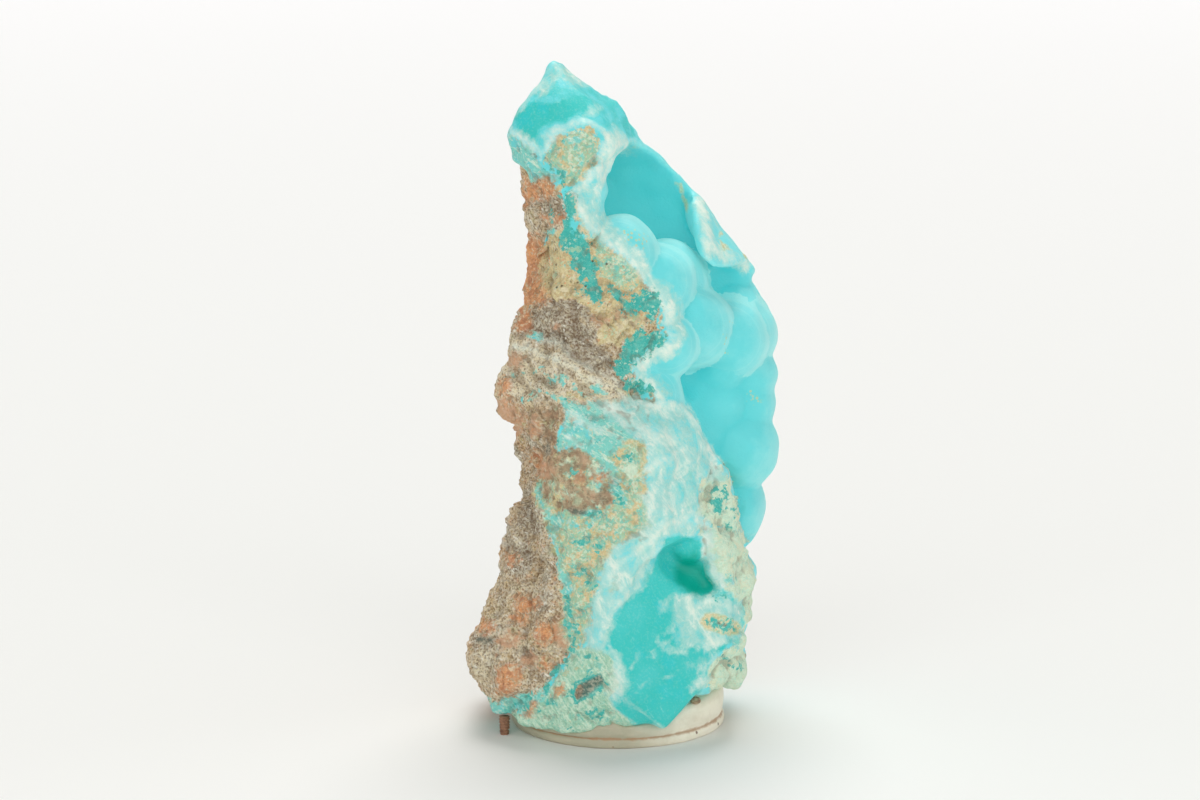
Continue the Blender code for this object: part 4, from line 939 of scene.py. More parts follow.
@dataclass(frozen=True)
class StoneFinish:
    """Turquoise crust over brown, tan and green matrix, in sRGB colours."""

    blue: Colour = (104, 212, 216)
    # Deeper teal: painted shade in the crust's hollows, and a darker random tone in the wedge.
    shade: Colour = (46, 200, 206)
    pale: Colour = (172, 232, 230)
    white: Colour = (223, 234, 223)
    milk: Colour = (166, 213, 206)
    glass: Colour = (52, 194, 188)
    deep: Colour = (0, 164, 146)
    fleck: Colour = (208, 200, 140)
    aqua: Colour = (134, 212, 200)
    teal: Colour = (70, 182, 172)
    teal_light: Colour = (120, 202, 188)
    tan: Colour = (214, 200, 152)
    tan_shade: Colour = (194, 168, 124)
    tan_green: Colour = (170, 206, 174)
    olive: Colour = (164, 166, 112)
    mint: Colour = (160, 206, 180)
    mint_light: Colour = (216, 236, 214)
    brown: Colour = (190, 168, 136)
    umber: Colour = (118, 96, 74)
    grey: Colour = (168, 160, 141)
    sage: Colour = (204, 194, 160)
    grain: Colour = (232, 228, 214)
    pink: Colour = (200, 156, 124)
    rust: Colour = (222, 160, 116)
    red: Colour = (176, 112, 80)
    orange: Colour = (238, 168, 108)
    cream: Colour = (230, 220, 190)
    dark: Colour = (90, 100, 90)
    # Colour of the painted shade in the pores.
    pit: Colour = (84, 62, 46)
    translucency: float = 0.3
    glow: float = 2.2
    # Painted glow: the stone emits its own colour to lift its shade, standing in for light that passes through the
    # translucent crust.
    painted_glow: float = 0.14
    rock_painted_glow: float = 0.15

    @staticmethod
    def has(graph: Graph, mineral: Mineral, edge: Value | float, blur: float) -> Value:
        """Share of a mineral at each point, up to an edge that is uneven and blurred."""
        return (graph.attribute(mineral.value) + edge).over(0.0, blur)

    def crumbly(self, graph: Graph, luck: Value, base: object, light: object, dark: object) -> bpy.types.NodeSocket:
        """Colour of packed grains, some of them lighter and some darker than the rest."""
        return graph.layers(base, (0.6 * luck.over(0.72, 0.08), light), (0.6 * luck.under(0.26, 0.08), dark))

    def crust(self, graph: Graph, grit: Grit) -> bpy.types.NodeSocket:
        """Colour of the botryoidal crust, with painted shade in its hollows and painted sheen at its edges and lobe
        rims.
        """
        valley = graph.attribute("valley")
        edge_on = graph.attribute("edge_on")
        lobe = graph.attribute("lobe")
        # Painted shade: where the valley attribute is high, in hollows and between lobes, the crust is darkened towards
        # the deeper teal.
        shade = (valley + 0.12 * grit.broad - 0.35 * lobe).over(0.62, 0.9)
        # Painted sheen: the crust is paler where its surface turns away from the front view, standing in for the light
        # the translucent crust shows at grazing edges.
        pale = (edge_on + 0.16 * grit.cloud + 0.03 * grit.fine - 0.35 * valley).over(0.36, 0.5)
        # The rim share and the pale share from lobe paint each lobe lighter at its outline in the front view: partly
        # the crust's real pale growth bands, partly painted edge light.
        rim = lobe.over(0.95, 0.06) * (0.75 + 0.25 * grit.swirl).minimum(1.0).maximum(0.0)
        inner = (lobe - 0.8 + 0.02 * grit.broad).size().under(0.012, 0.03)
        veil = (grit.swirl + 0.2 * grit.mottle).over(1.05, 0.6)
        speck, luck = grit.grain
        fleck = (graph.attribute(Mineral.FLECK.value) + 0.8 * grit.cloud).over(0.5, 0.7)
        dots = (speck.under(0.36, 0.24) * luck.over(0.55, 0.1)).maximum((grit.mottle + 0.3 * grit.fine).over(0.9, 0.3))
        return graph.layers(
            self.blue, (0.5 * shade, self.shade), (0.4 * pale, self.pale), (0.25 * lobe.over(0.85, 0.5), self.pale),
            (0.55 * rim, self.pale), (0.2 * inner, self.pale), (0.2 * veil, self.white), (0.75 * fleck * dots, self.fleck))

    def broken_crust(self, graph: Graph, grit: Grit, edge: Value, below: object) -> bpy.types.NodeSocket:
        """Colour where the solid turquoise is broken through: the tip, the wedge and the cavity."""
        face = graph.layers(
            self.blue, (0.3 * (grit.swirl + 0.5 * grit.broad).over(0.6, 0.9), self.pale),
            (0.6 * (grit.drift - 0.5 * grit.swirl).over(-0.1, 0.9), self.glass),
            (0.08 * grit.fine.over(0.3, 0.6), self.white))
        below = graph.mix(self.has(graph, Mineral.FACE, 0.35 * edge, 0.6), below, face)
        wedge = graph.layers(
            self.glass, (0.25 * (grit.broad + 0.3 * grit.cloud).over(0.3, 1.2), self.blue),
            (0.35 * (grit.needle + 0.3 * grit.mottle).over(0.85, 0.7), self.pale),
            (0.5 * (0.0 - grit.broad - 0.5 * grit.swirl).over(0.5, 0.8), self.shade),
            (0.07 * grit.fine.over(0.35, 0.6), self.white))
        below = graph.mix(self.has(graph, Mineral.GLASS, 0.35 * edge, 0.5), below, wedge)
        # The cavity is painted a dark deep teal: partly the crust's own deeper teal, partly painted shade in the
        # recess.
        deep = (graph.attribute(Mineral.DEEP.value) + 0.4 * edge).over(0.3, 2.0)
        return graph.mix(deep, below, self.deep)

    def rock(self, graph: Graph, grit: Grit, edge: Value) -> bpy.types.NodeSocket:
        """Colour of the broken brown rock."""
        brown = graph.layers(
            self.brown, (0.45 * (grit.wide + 0.3 * grit.cloud).over(0.35, 0.7), self.cream),
            (0.5 * (0.0 - grit.wide - 0.3 * grit.drift).over(0.35, 0.7), self.rust),
            (0.9 * (grit.broad + 0.5 * grit.cloud).over(0.3, 0.5), self.grey),
            (0.85 * (0.0 - grit.broad - 0.4 * grit.cloud).over(0.45, 0.5), self.tan_shade),
            (0.75 * (grit.drift + 0.4 * grit.mottle).over(0.6, 0.4), self.pink),
            (0.8 * (grit.cloud - 0.5 * grit.drift).over(0.9, 0.4), self.cream),
            (0.6 * (0.0 - grit.drift - 0.4 * grit.mottle).over(0.7, 0.4), self.olive))
        brown = graph.mix(0.9 * self.has(graph, Mineral.GREY, edge, 1.0), brown, graph.layers(
            self.grey, (0.75 * (grit.fibre + 0.5 * grit.mottle).over(0.2, 0.8), self.umber),
            (0.6 * (0.0 - grit.fibre - 0.4 * grit.cloud).over(0.5, 0.5), self.tan_shade)))
        pale = self.has(graph, Mineral.PALE, edge, 1.4) * (0.6 + 0.5 * grit.fibre).minimum(0.9).maximum(0.1)
        brown = graph.mix(pale, brown, graph.mix(grit.drift.over(0.4, 0.7), self.cream, self.sage))
        flake, luck = grit.flake
        crumb, chance = grit.crumb
        white = flake.under(0.42, 0.3) * (luck + 0.14 * grit.broad + 0.07 * grit.mottle).over(0.9, 0.06)
        # Painted shade: a few grains are painted umber as small dark pores.
        hollow = crumb.under(0.5, 0.3) * (chance + 0.1 * grit.cloud).under(0.13, 0.06)
        return graph.layers(
            brown, (0.5 * (grit.mottle + 0.5 * grit.fine).under(-0.5, 0.6), self.umber),
            (0.55 * grit.fine.under(-0.3, 0.6), self.umber), (0.45 * grit.fine.over(0.3, 0.6), self.cream),
            (0.35 * chance.over(0.7, 0.1), self.grain), (0.9 * white, self.grain), (0.6 * hollow, self.umber))

    def earthy(self, graph: Graph, grit: Grit, edge: Value, below: object) -> bpy.types.NodeSocket:
        """Colour with the brown, pink and rusty patches over the other minerals."""
        hoop = graph.cells(3.1, offset=33.0)[0]
        knots = graph.layers(
            self.brown, (0.8 * (grit.mottle + 0.5 * grit.cloud).over(0.1, 0.7), self.umber),
            (0.7 * (grit.drift - 0.3 * grit.mottle).over(0.3, 0.5), self.pink),
            (0.7 * (0.0 - grit.mottle - 0.3 * grit.drift).over(0.6, 0.4), self.cream),
            (0.4 * (hoop - 0.4 + 0.12 * grit.mottle).size().under(0.09, 0.1), self.umber),
            (0.5 * (hoop + 0.14 * grit.mottle).under(0.25, 0.2), self.tan_green))
        pink = graph.layers(
            self.pink, (0.8 * (grit.mottle - 0.4 * grit.cloud).over(0.5, 0.5), self.rust),
            (0.7 * (0.0 - grit.mottle - 0.4 * grit.drift).over(0.5, 0.4), self.cream))
        rusty = graph.layers(
            self.rust, ((grit.mottle + 0.3 * grit.fine).over(0.0, 0.5), self.orange),
            (0.8 * (grit.cloud - 0.4 * grit.mottle).over(0.35, 0.5), self.brown),
            (0.8 * (grit.mottle - 0.5 * grit.drift).over(0.15, 0.5), self.red),
            (0.7 * (grit.fine - grit.mottle).over(0.7, 0.4), self.cream))
        stray = (grit.mottle - 0.6 * grit.cloud).over(1.0, 0.3) * self.has(graph, Mineral.ROCK, edge, 0.8)
        return graph.layers(
            below, (0.9 * self.has(graph, Mineral.BROWN, edge - 0.1, 0.8) * (grit.drift - 0.5 * grit.cloud).over(-0.2, 0.5), knots),
            (0.8 * self.has(graph, Mineral.PINK, edge - 0.1, 0.9), pink),
            (0.85 * self.has(graph, Mineral.RUST, 1.4 * edge + 0.3, 1.1), rusty), (0.65 * stray, self.rust))

    def sandy(self, graph: Graph, grit: Grit, edge: Value, below: object) -> bpy.types.NodeSocket:
        """Colour of the crumbly tan and olive minerals over the rock."""
        crumb, chance = grit.crumb
        sand = graph.layers(
            self.crumbly(graph, grit.grain[1], self.tan, self.cream, self.tan_shade),
            (0.8 * (grit.cloud + 0.4 * grit.fine).over(0.5, 0.4), self.tan_green),
            (0.8 * (grit.drift + 0.5 * grit.mottle).over(0.7, 0.4), self.tan_shade),
            (0.8 * (grit.mottle - grit.fine).over(0.95, 0.4), self.olive),
            (0.8 * (0.0 - grit.cloud - 0.6 * grit.mottle).over(0.95, 0.3), self.teal_light),
            (0.4 * grit.fine.under(-0.3, 0.5), self.brown), (0.45 * grit.fine.over(0.4, 0.5), self.cream),
            (0.55 * (grit.cloud - 0.7 * grit.drift).over(0.85, 0.5), self.pink),
            (0.75 * crumb.under(0.5, 0.2) * chance.over(0.94, 0.015), self.rust))
        below = graph.mix(self.has(graph, Mineral.TAN, edge, 0.35), below, sand)
        lens = graph.layers(self.olive, (0.6 * (grit.mottle + 0.5 * grit.fine).over(0.2, 0.6), self.tan),
                            (0.5 * grit.cloud.over(0.3, 0.5), self.tan_green))
        return graph.mix(0.9 * self.has(graph, Mineral.OLIVE, edge, 0.6), below, lens)

    def speckled(self, graph: Graph, grit: Grit, edge: Value, below: object) -> bpy.types.NodeSocket:
        """Colour of the speckled green, the aqua and the mint minerals over the matrix."""
        chance = grit.crumb[1]
        green = graph.layers(
            self.crumbly(graph, grit.grain[1], self.tan_green, self.mint_light, self.teal_light),
            ((grit.cloud + 0.4 * grit.mottle).over(0.2, 0.35), self.tan),
            (0.9 * (grit.drift - 0.4 * grit.mottle).over(0.45, 0.3), self.teal_light),
            (0.9 * (grit.mottle + 0.8 * grit.drift).over(1.25, 0.25), self.teal),
            (0.8 * (0.0 - grit.cloud - 0.5 * grit.mottle).over(1.0, 0.3), self.olive),
            (0.7 * (grit.swirl + 0.3 * grit.fine).over(0.85, 0.35), self.mint_light),
            (0.5 * chance.over(0.8, 0.06), self.cream), (0.4 * grit.fine.under(-0.35, 0.4), self.tan_shade))
        lighter = self.has(graph, Mineral.PALE, edge, 1.0) * (0.7 + 0.25 * grit.mottle).minimum(0.9).maximum(0.2)
        green = graph.mix(lighter, green, self.mint_light)
        below = graph.mix(self.has(graph, Mineral.SPECKLE, edge, 0.4), below, green)
        minty = graph.layers(
            self.mint, (0.75 * (grit.needle + 0.3 * grit.drift).over(0.1, 0.6), self.mint_light),
            (0.7 * (grit.cloud + 0.5 * grit.mottle).over(0.6, 0.4), self.teal_light),
            (0.6 * (0.0 - grit.drift - 0.5 * grit.mottle).over(0.75, 0.3), self.tan),
            (0.8 * (grit.drift + 0.3 * grit.mottle).size().under(0.03, 0.06) * grit.cloud.over(0.2, 0.3), self.teal),
            (0.4 * chance.over(0.82, 0.06), self.mint_light), (0.35 * grit.fine.under(-0.35, 0.4), self.teal_light))
        below = graph.mix(self.has(graph, Mineral.MINT, 0.7 * edge, 0.6), below, minty)
        aqua = graph.layers(
            self.aqua, (0.75 * (grit.drift + 0.3 * grit.mottle).over(0.3, 0.6), self.blue),
            (0.85 * (grit.fibre + 0.3 * grit.mottle).over(0.55, 0.5), self.mint_light),
            (0.9 * (grit.cloud - 0.4 * grit.fibre).over(0.75, 0.3), self.teal),
            (0.9 * (0.0 - grit.swirl - 0.5 * grit.mottle).over(0.85, 0.3), self.tan),
            (0.4 * chance.over(0.84, 0.06), self.white))
        return graph.mix(self.has(graph, Mineral.AQUA, edge, 0.4), below, aqua)

    def frosted(self, graph: Graph, grit: Grit, edge: Value, below: object) -> tuple[bpy.types.NodeSocket, Value]:
        """Colour with the milky and the white fibrous growths on top, and their share."""
        milk = self.has(graph, Mineral.MILK, edge - 0.1, 1.0) * (0.85 + 0.25 * grit.swirl).minimum(1.0).maximum(0.0)
        milky = graph.layers(
            self.milk, (0.8 * (grit.swirl + 0.35 * grit.needle + 0.2 * grit.mottle).over(0.35, 0.7), self.white),
            (0.75 * (0.0 - grit.swirl - 0.3 * grit.mottle).over(0.45, 0.6), self.blue),
            (0.45 * (grit.drift + 0.3 * grit.mottle).over(0.6, 0.6), self.teal_light),
            (0.12 * grit.fine.over(0.2, 0.6), self.white), (0.45 * (grit.mottle - 0.7 * grit.swirl).over(1.1, 0.3), self.tan))
        bloom = self.has(graph, Mineral.WHITE, edge - 0.1, 1.3)
        bloom = bloom * (0.74 + 0.2 * grit.needle + 0.25 * grit.swirl + 0.1 * grit.fine).minimum(1.0).maximum(0.0)
        return graph.layers(below, (milk, milky), (bloom, self.white)), bloom.maximum(milk)

    def material(self) -> bpy.types.Material:
        """Make the stone's material.

        Returns:
            The material, which reads the mineral distances that the mesh carries.
        """
        material, graph = new_material("hemimorphite_stone")
        grit = Grit.of(graph)
        jag = 0.6 * grit.cloud + 0.3 * grit.mottle + 0.7 * (grit.grain[1] - 0.5)
        other = 0.6 * grit.drift + 0.3 * grit.mottle
        solid = graph.attribute(Mineral.GLASS.value).maximum(graph.attribute(Mineral.DEEP.value))
        solid = solid.maximum(graph.attribute(Mineral.FACE.value))
        rocky = graph.attribute(Mineral.ROCK.value)
        for mineral in (Mineral.TAN, Mineral.SPECKLE, Mineral.MINT, Mineral.AQUA, Mineral.OLIVE):
            rocky = rocky.maximum(graph.attribute(mineral.value))
        rock = (rocky + 0.8 * jag).over(0.0, 0.4) * (solid + 0.35 * jag).under(0.0, 0.5)
        crust = self.broken_crust(graph, grit, jag, self.crust(graph, grit))
        stone = self.sandy(graph, grit, other, self.rock(graph, grit, jag))
        stone = self.earthy(graph, grit, jag, self.speckled(graph, grit, jag, stone))
        colour = graph.mix(rock, crust, stone)
        colour, frost = self.frosted(graph, grit, other, colour)
        ring = self.has(graph, Mineral.RING, 0.45 * other, 0.4)
        colour = graph.mix(0.9 * ring, colour, graph.layers(
            self.tan, ((grit.mottle + 0.3 * grit.fine).over(0.2, 0.5), self.tan_green),
            (0.6 * grit.fine.over(0.3, 0.4), self.cream), (0.5 * grit.fine.under(-0.4, 0.4), self.olive)))
        teal_share = self.has(graph, Mineral.TEAL, 1.3 * jag, 0.4)
        colour = graph.mix(teal_share, colour, graph.layers(
            self.teal, (0.7 * (grit.fine + 0.5 * grit.mottle).over(0.4, 0.5), self.teal_light),
            (0.6 * grit.cloud.over(0.4, 0.6), self.teal_light), (0.5 * grit.crumb[1].over(0.93, 0.04), self.mint_light),
            (0.8 * (grit.drift - 0.6 * grit.mottle).over(0.65, 0.3), self.tan_green)))
        core = self.has(graph, Mineral.CORE, 0.2 * other, 0.3)
        colour = graph.mix(0.85 * core, colour, graph.mix(grit.fine.over(0.0, 0.5), self.rust, self.umber))
        dark = self.has(graph, Mineral.DARK, 0.4 * other, 0.5)
        colour = graph.mix(0.85 * dark, colour, graph.mix((grit.mottle + 0.4 * grit.fine).over(0.1, 0.6), self.dark, self.grey))
        # Painted shade in the pores: small pits of the tan zone are painted dark brown as well as sunk by the bump.
        hole, luck = graph.cells(1.15, offset=25.0)
        pit = hole.under(0.17 + 0.06 * grit.mottle, 0.1) * luck.over(0.68, 0.03)
        pit = pit * graph.attribute(Mineral.TAN.value).over(1.2, 0.6) * graph.attribute(Mineral.WHITE.value).under(-1.5, 1.0)
        colour = graph.mix(0.8 * pit, colour, self.pit)
        # Painted shade: the rock is darkened with umber in its creases.
        crease_shade = graph.attribute("crevice").over(0.85, 0.5) * rock
        colour = graph.mix(0.4 * crease_shade, colour, self.umber)
        rough_share = rock.maximum(teal_share) * (1.0 - 0.6 * frost)
        # Both shaders emit their own colour as a painted glow that lifts the shade.
        crust_shader = graph.principled(
            Base_Color=colour, Roughness=0.42, Subsurface_Weight=self.translucency,
            Subsurface_Radius=(0.35, 0.9, 1.0), Subsurface_Scale=self.glow * MM, Specular_IOR_Level=0.35,
            Emission_Color=colour, Emission_Strength=self.painted_glow,
            Normal=graph.bump(grit.fine + 0.5 * grit.mottle, 0.05, 0.4))
        height = 0.6 * grit.fine + 0.6 * grit.mottle - 0.3 * grit.grain[0] - 1.5 * pit
        rock_shader = graph.principled(
            Base_Color=colour, Roughness=0.8, Specular_IOR_Level=0.3, Emission_Color=colour,
            Emission_Strength=self.rock_painted_glow, Normal=graph.bump(height, 0.22, 0.8))
        both = graph.node("ShaderNodeMixShader", None, {0: rough_share, 1: crust_shader, 2: rock_shader})
        graph.node("ShaderNodeOutputMaterial", None, {"Surface": both.outputs[0]})
        return material


@dataclass(frozen=True)
class PuttyFinish:
    """Cream mounting putty, rubbed dirty in its seam, with painted shade over its left side."""

    cream: Colour = (244, 238, 220)
    # Colour of the painted shade on the pad's left side.
    front: Colour = (168, 164, 140)
    shade: Colour = (204, 192, 168)
    stain: Colour = (176, 132, 92)
    speck: Colour = (120, 84, 60)

    def material(self) -> bpy.types.Material:
        """Make the putty's material, which reads how deep the mesh's seam is."""
        material, graph = new_material("cream_putty")
        smear = graph.noise(5.0, 4.0, 0.6, 1.0, 0.0, (0.5, 0.5, 1.6))
        grime = graph.noise(1.6, 4.0, 0.7, 2.0)
        dot, luck = graph.cells(1.9, offset=3.0)
        mark = dot.under(0.13, 0.06) * luck.over(0.86, 0.02)
        seam = graph.attribute("seam")
        split = graph.node("ShaderNodeSeparateXYZ", None, {0: graph.place(0.0, 0.0, (1.0, 1.0, 1.0))})
        # Painted shade: the pad's left side, under the stone's overhang, is darkened to a grey-green that also stands
        # in for light bounced off the stone.
        left = (Value(graph, split.outputs[0]) + 2.0 * smear).under(6.0, 8.0)
        colour = graph.layers(
            self.cream, (0.9 * left, self.front), (0.5 * (smear + 0.4 * grime).over(0.35, 1.2), self.shade),
            (0.4 * grime.over(1.0, 0.5), self.stain),
            (0.75 * (seam + 0.3 * grime).over(0.6, 0.5), self.stain), (0.9 * mark, self.speck))
        # The putty emits its own colour, a painted glow that lifts its shade.
        shader = graph.principled(
            Base_Color=colour, Roughness=0.62, Subsurface_Weight=0.12, Subsurface_Radius=(1.0, 0.8, 0.6),
            Subsurface_Scale=1.2 * MM, Emission_Color=colour, Emission_Strength=0.06,
            Normal=graph.bump(grime + smear, 0.06, 0.5))
        graph.node("ShaderNodeOutputMaterial", None, {"Surface": shader})
        return material


@dataclass(frozen=True)
class PlainFinish:
    """A mottled finish between two colours."""

    name: str
    base: Colour
    other: Colour
    pitch: float
    roughness: float = 0.7

    def material(self) -> bpy.types.Material:
        """Make the material."""
        material, graph = new_material(self.name)
        mottle = graph.noise(self.pitch, 4.0, 0.65, 1.0)
        shader = graph.principled(
            Base_Color=graph.mix(mottle.over(0.2, 1.0), self.base, self.other),
            Roughness=self.roughness, Normal=graph.bump(mottle, 0.08 * self.pitch, 0.6))
        graph.node("ShaderNodeOutputMaterial", None, {"Surface": shader})
        return material


class Piece:
    """A mesh object of the visual model, which rides on the one body and stands for a solid."""

    def __init__(self, name: str, mesh: bpy.types.Mesh, material: bpy.types.Material) -> None:
        """Put a mesh in the scene under a name, with a material."""
        mesh.materials.clear()
        mesh.materials.append(material)
        mesh.shade_smooth()
        self.object = bpy.data.objects.new(name, mesh)
        bpy.context.scene.collection.objects.link(self.object)

    def hand_over(self, slot: str, *nodes: str) -> None:
        """Tell the frame what carries the piece.

        Args:
            slot: Not used.
            nodes: The solids that it stands for.
        """
        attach(self.object, "root")
        if nodes:
            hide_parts(*nodes)
        LOG.info("%s: %d triangles", self.object.name, 2 * len(self.object.data.polygons))


class Forge:
    """Mesh operations on closed shells."""

    @staticmethod
    def hull(shell: bmesh.types.BMesh, points: list[Point]) -> None:
        """Add the convex hull of some corners to a shell."""
        verts = [shell.verts.new(Vector(point) * MM) for point in points]
        made = bmesh.ops.convex_hull(shell, input=verts)
        inner = [item for item in made["geom_interior"] if isinstance(item, bmesh.types.BMVert)]
        bmesh.ops.delete(shell, geom=inner, context="VERTS")

    @staticmethod
    def ball(shell: bmesh.types.BMesh, centre: Point, radii: Point, turn: float = 0.0) -> None:
        """Add an ellipsoid to a shell, turned about Y by some degrees."""
        shape = Matrix.Diagonal((*[radius * MM for radius in radii], 1.0))
        place = Matrix.Translation(Vector(centre) * MM) @ Matrix.Rotation(math.radians(turn), 4, "Y") @ shape
        bmesh.ops.create_icosphere(shell, subdivisions=5, radius=1.0, matrix=place)

    @staticmethod
    def loose(shell: bmesh.types.BMesh) -> bpy.types.Object:
        """Object of a shell, which is freed."""
        mesh = bpy.data.meshes.new("shell")
        shell.to_mesh(mesh)
        shell.free()
        made = bpy.data.objects.new("shell", mesh)
        bpy.context.scene.collection.objects.link(made)
        return made

    @staticmethod
    def settle(made: bpy.types.Object) -> bpy.types.Mesh:
        """Mesh of an object with its modifiers, after which the object is removed."""
        graph = bpy.context.evaluated_depsgraph_get()
        mesh = bpy.data.meshes.new_from_object(made.evaluated_get(graph))
        bpy.data.objects.remove(made, do_unlink=True)
        return mesh

    @classmethod
    def fuse(cls, shell: bmesh.types.BMesh, voxel: float) -> bpy.types.Mesh:
        """Fuse overlapping closed shells into one skin of even cells of a size."""
        made = cls.loose(shell)
        remesh = made.modifiers.new("fuse", "REMESH")
        remesh.mode = "VOXEL"
        remesh.voxel_size = voxel * MM
        return cls.settle(made)

    @classmethod
    def carve(cls, mesh: bpy.types.Mesh, cutter: bpy.types.Mesh) -> bpy.types.Mesh:
        """Subtract a cutter from a mesh."""
        made = bpy.data.objects.new("carved", mesh)
        tool = bpy.data.objects.new("cutter", cutter)
        for item in (made, tool):
            bpy.context.scene.collection.objects.link(item)
        cut = made.modifiers.new("hollow", "BOOLEAN")
        cut.operation = "DIFFERENCE"
        cut.solver = "EXACT"
        cut.object = tool
        carved = cls.settle(made)
        bpy.data.objects.remove(tool, do_unlink=True)
        return carved

    @staticmethod
    def points(mesh: bpy.types.Mesh) -> np.ndarray:
        """Rows of a mesh's points in millimetres."""
        flat = np.empty(3 * len(mesh.vertices))
        mesh.vertices.foreach_get("co", flat)
        return flat.reshape(-1, 3) / MM

    @staticmethod
    def normals(mesh: bpy.types.Mesh) -> np.ndarray:
        """Rows of a mesh's point normals."""
        flat = np.empty(3 * len(mesh.vertices))
        mesh.vertex_normals.foreach_get("vector", flat)
        return flat.reshape(-1, 3)

    @staticmethod
    def move(mesh: bpy.types.Mesh, points: np.ndarray) -> None:
        """Put a mesh's points somewhere else, in millimetres."""
        mesh.vertices.foreach_set("co", (points * MM).ravel())
        mesh.update()

    @staticmethod
    def mark(mesh: bpy.types.Mesh, name: str, values: np.ndarray) -> None:
        """Let a mesh carry a number at each point."""
        layer = mesh.attributes.new(name, "FLOAT", "POINT")
        layer.data.foreach_set("value", values.astype(np.float32))

    @staticmethod
    def relaxed(mesh: bpy.types.Mesh, points: np.ndarray, rounds: int) -> np.ndarray:
        """A mesh's points after some rounds of moving each to the middle of its neighbours."""
        flat = np.empty(2 * len(mesh.edges), int)
        mesh.edges.foreach_get("vertices", flat)
        first, second = flat.reshape(-1, 2).T
        count = np.bincount(flat, minlength=len(points))[:, None]
        for _ in range(rounds):
            total = np.zeros_like(points)
            for axis in range(3):
                total[:, axis] += np.bincount(first, points[second, axis], len(points))
                total[:, axis] += np.bincount(second, points[first, axis], len(points))
            points = total / count
        return points


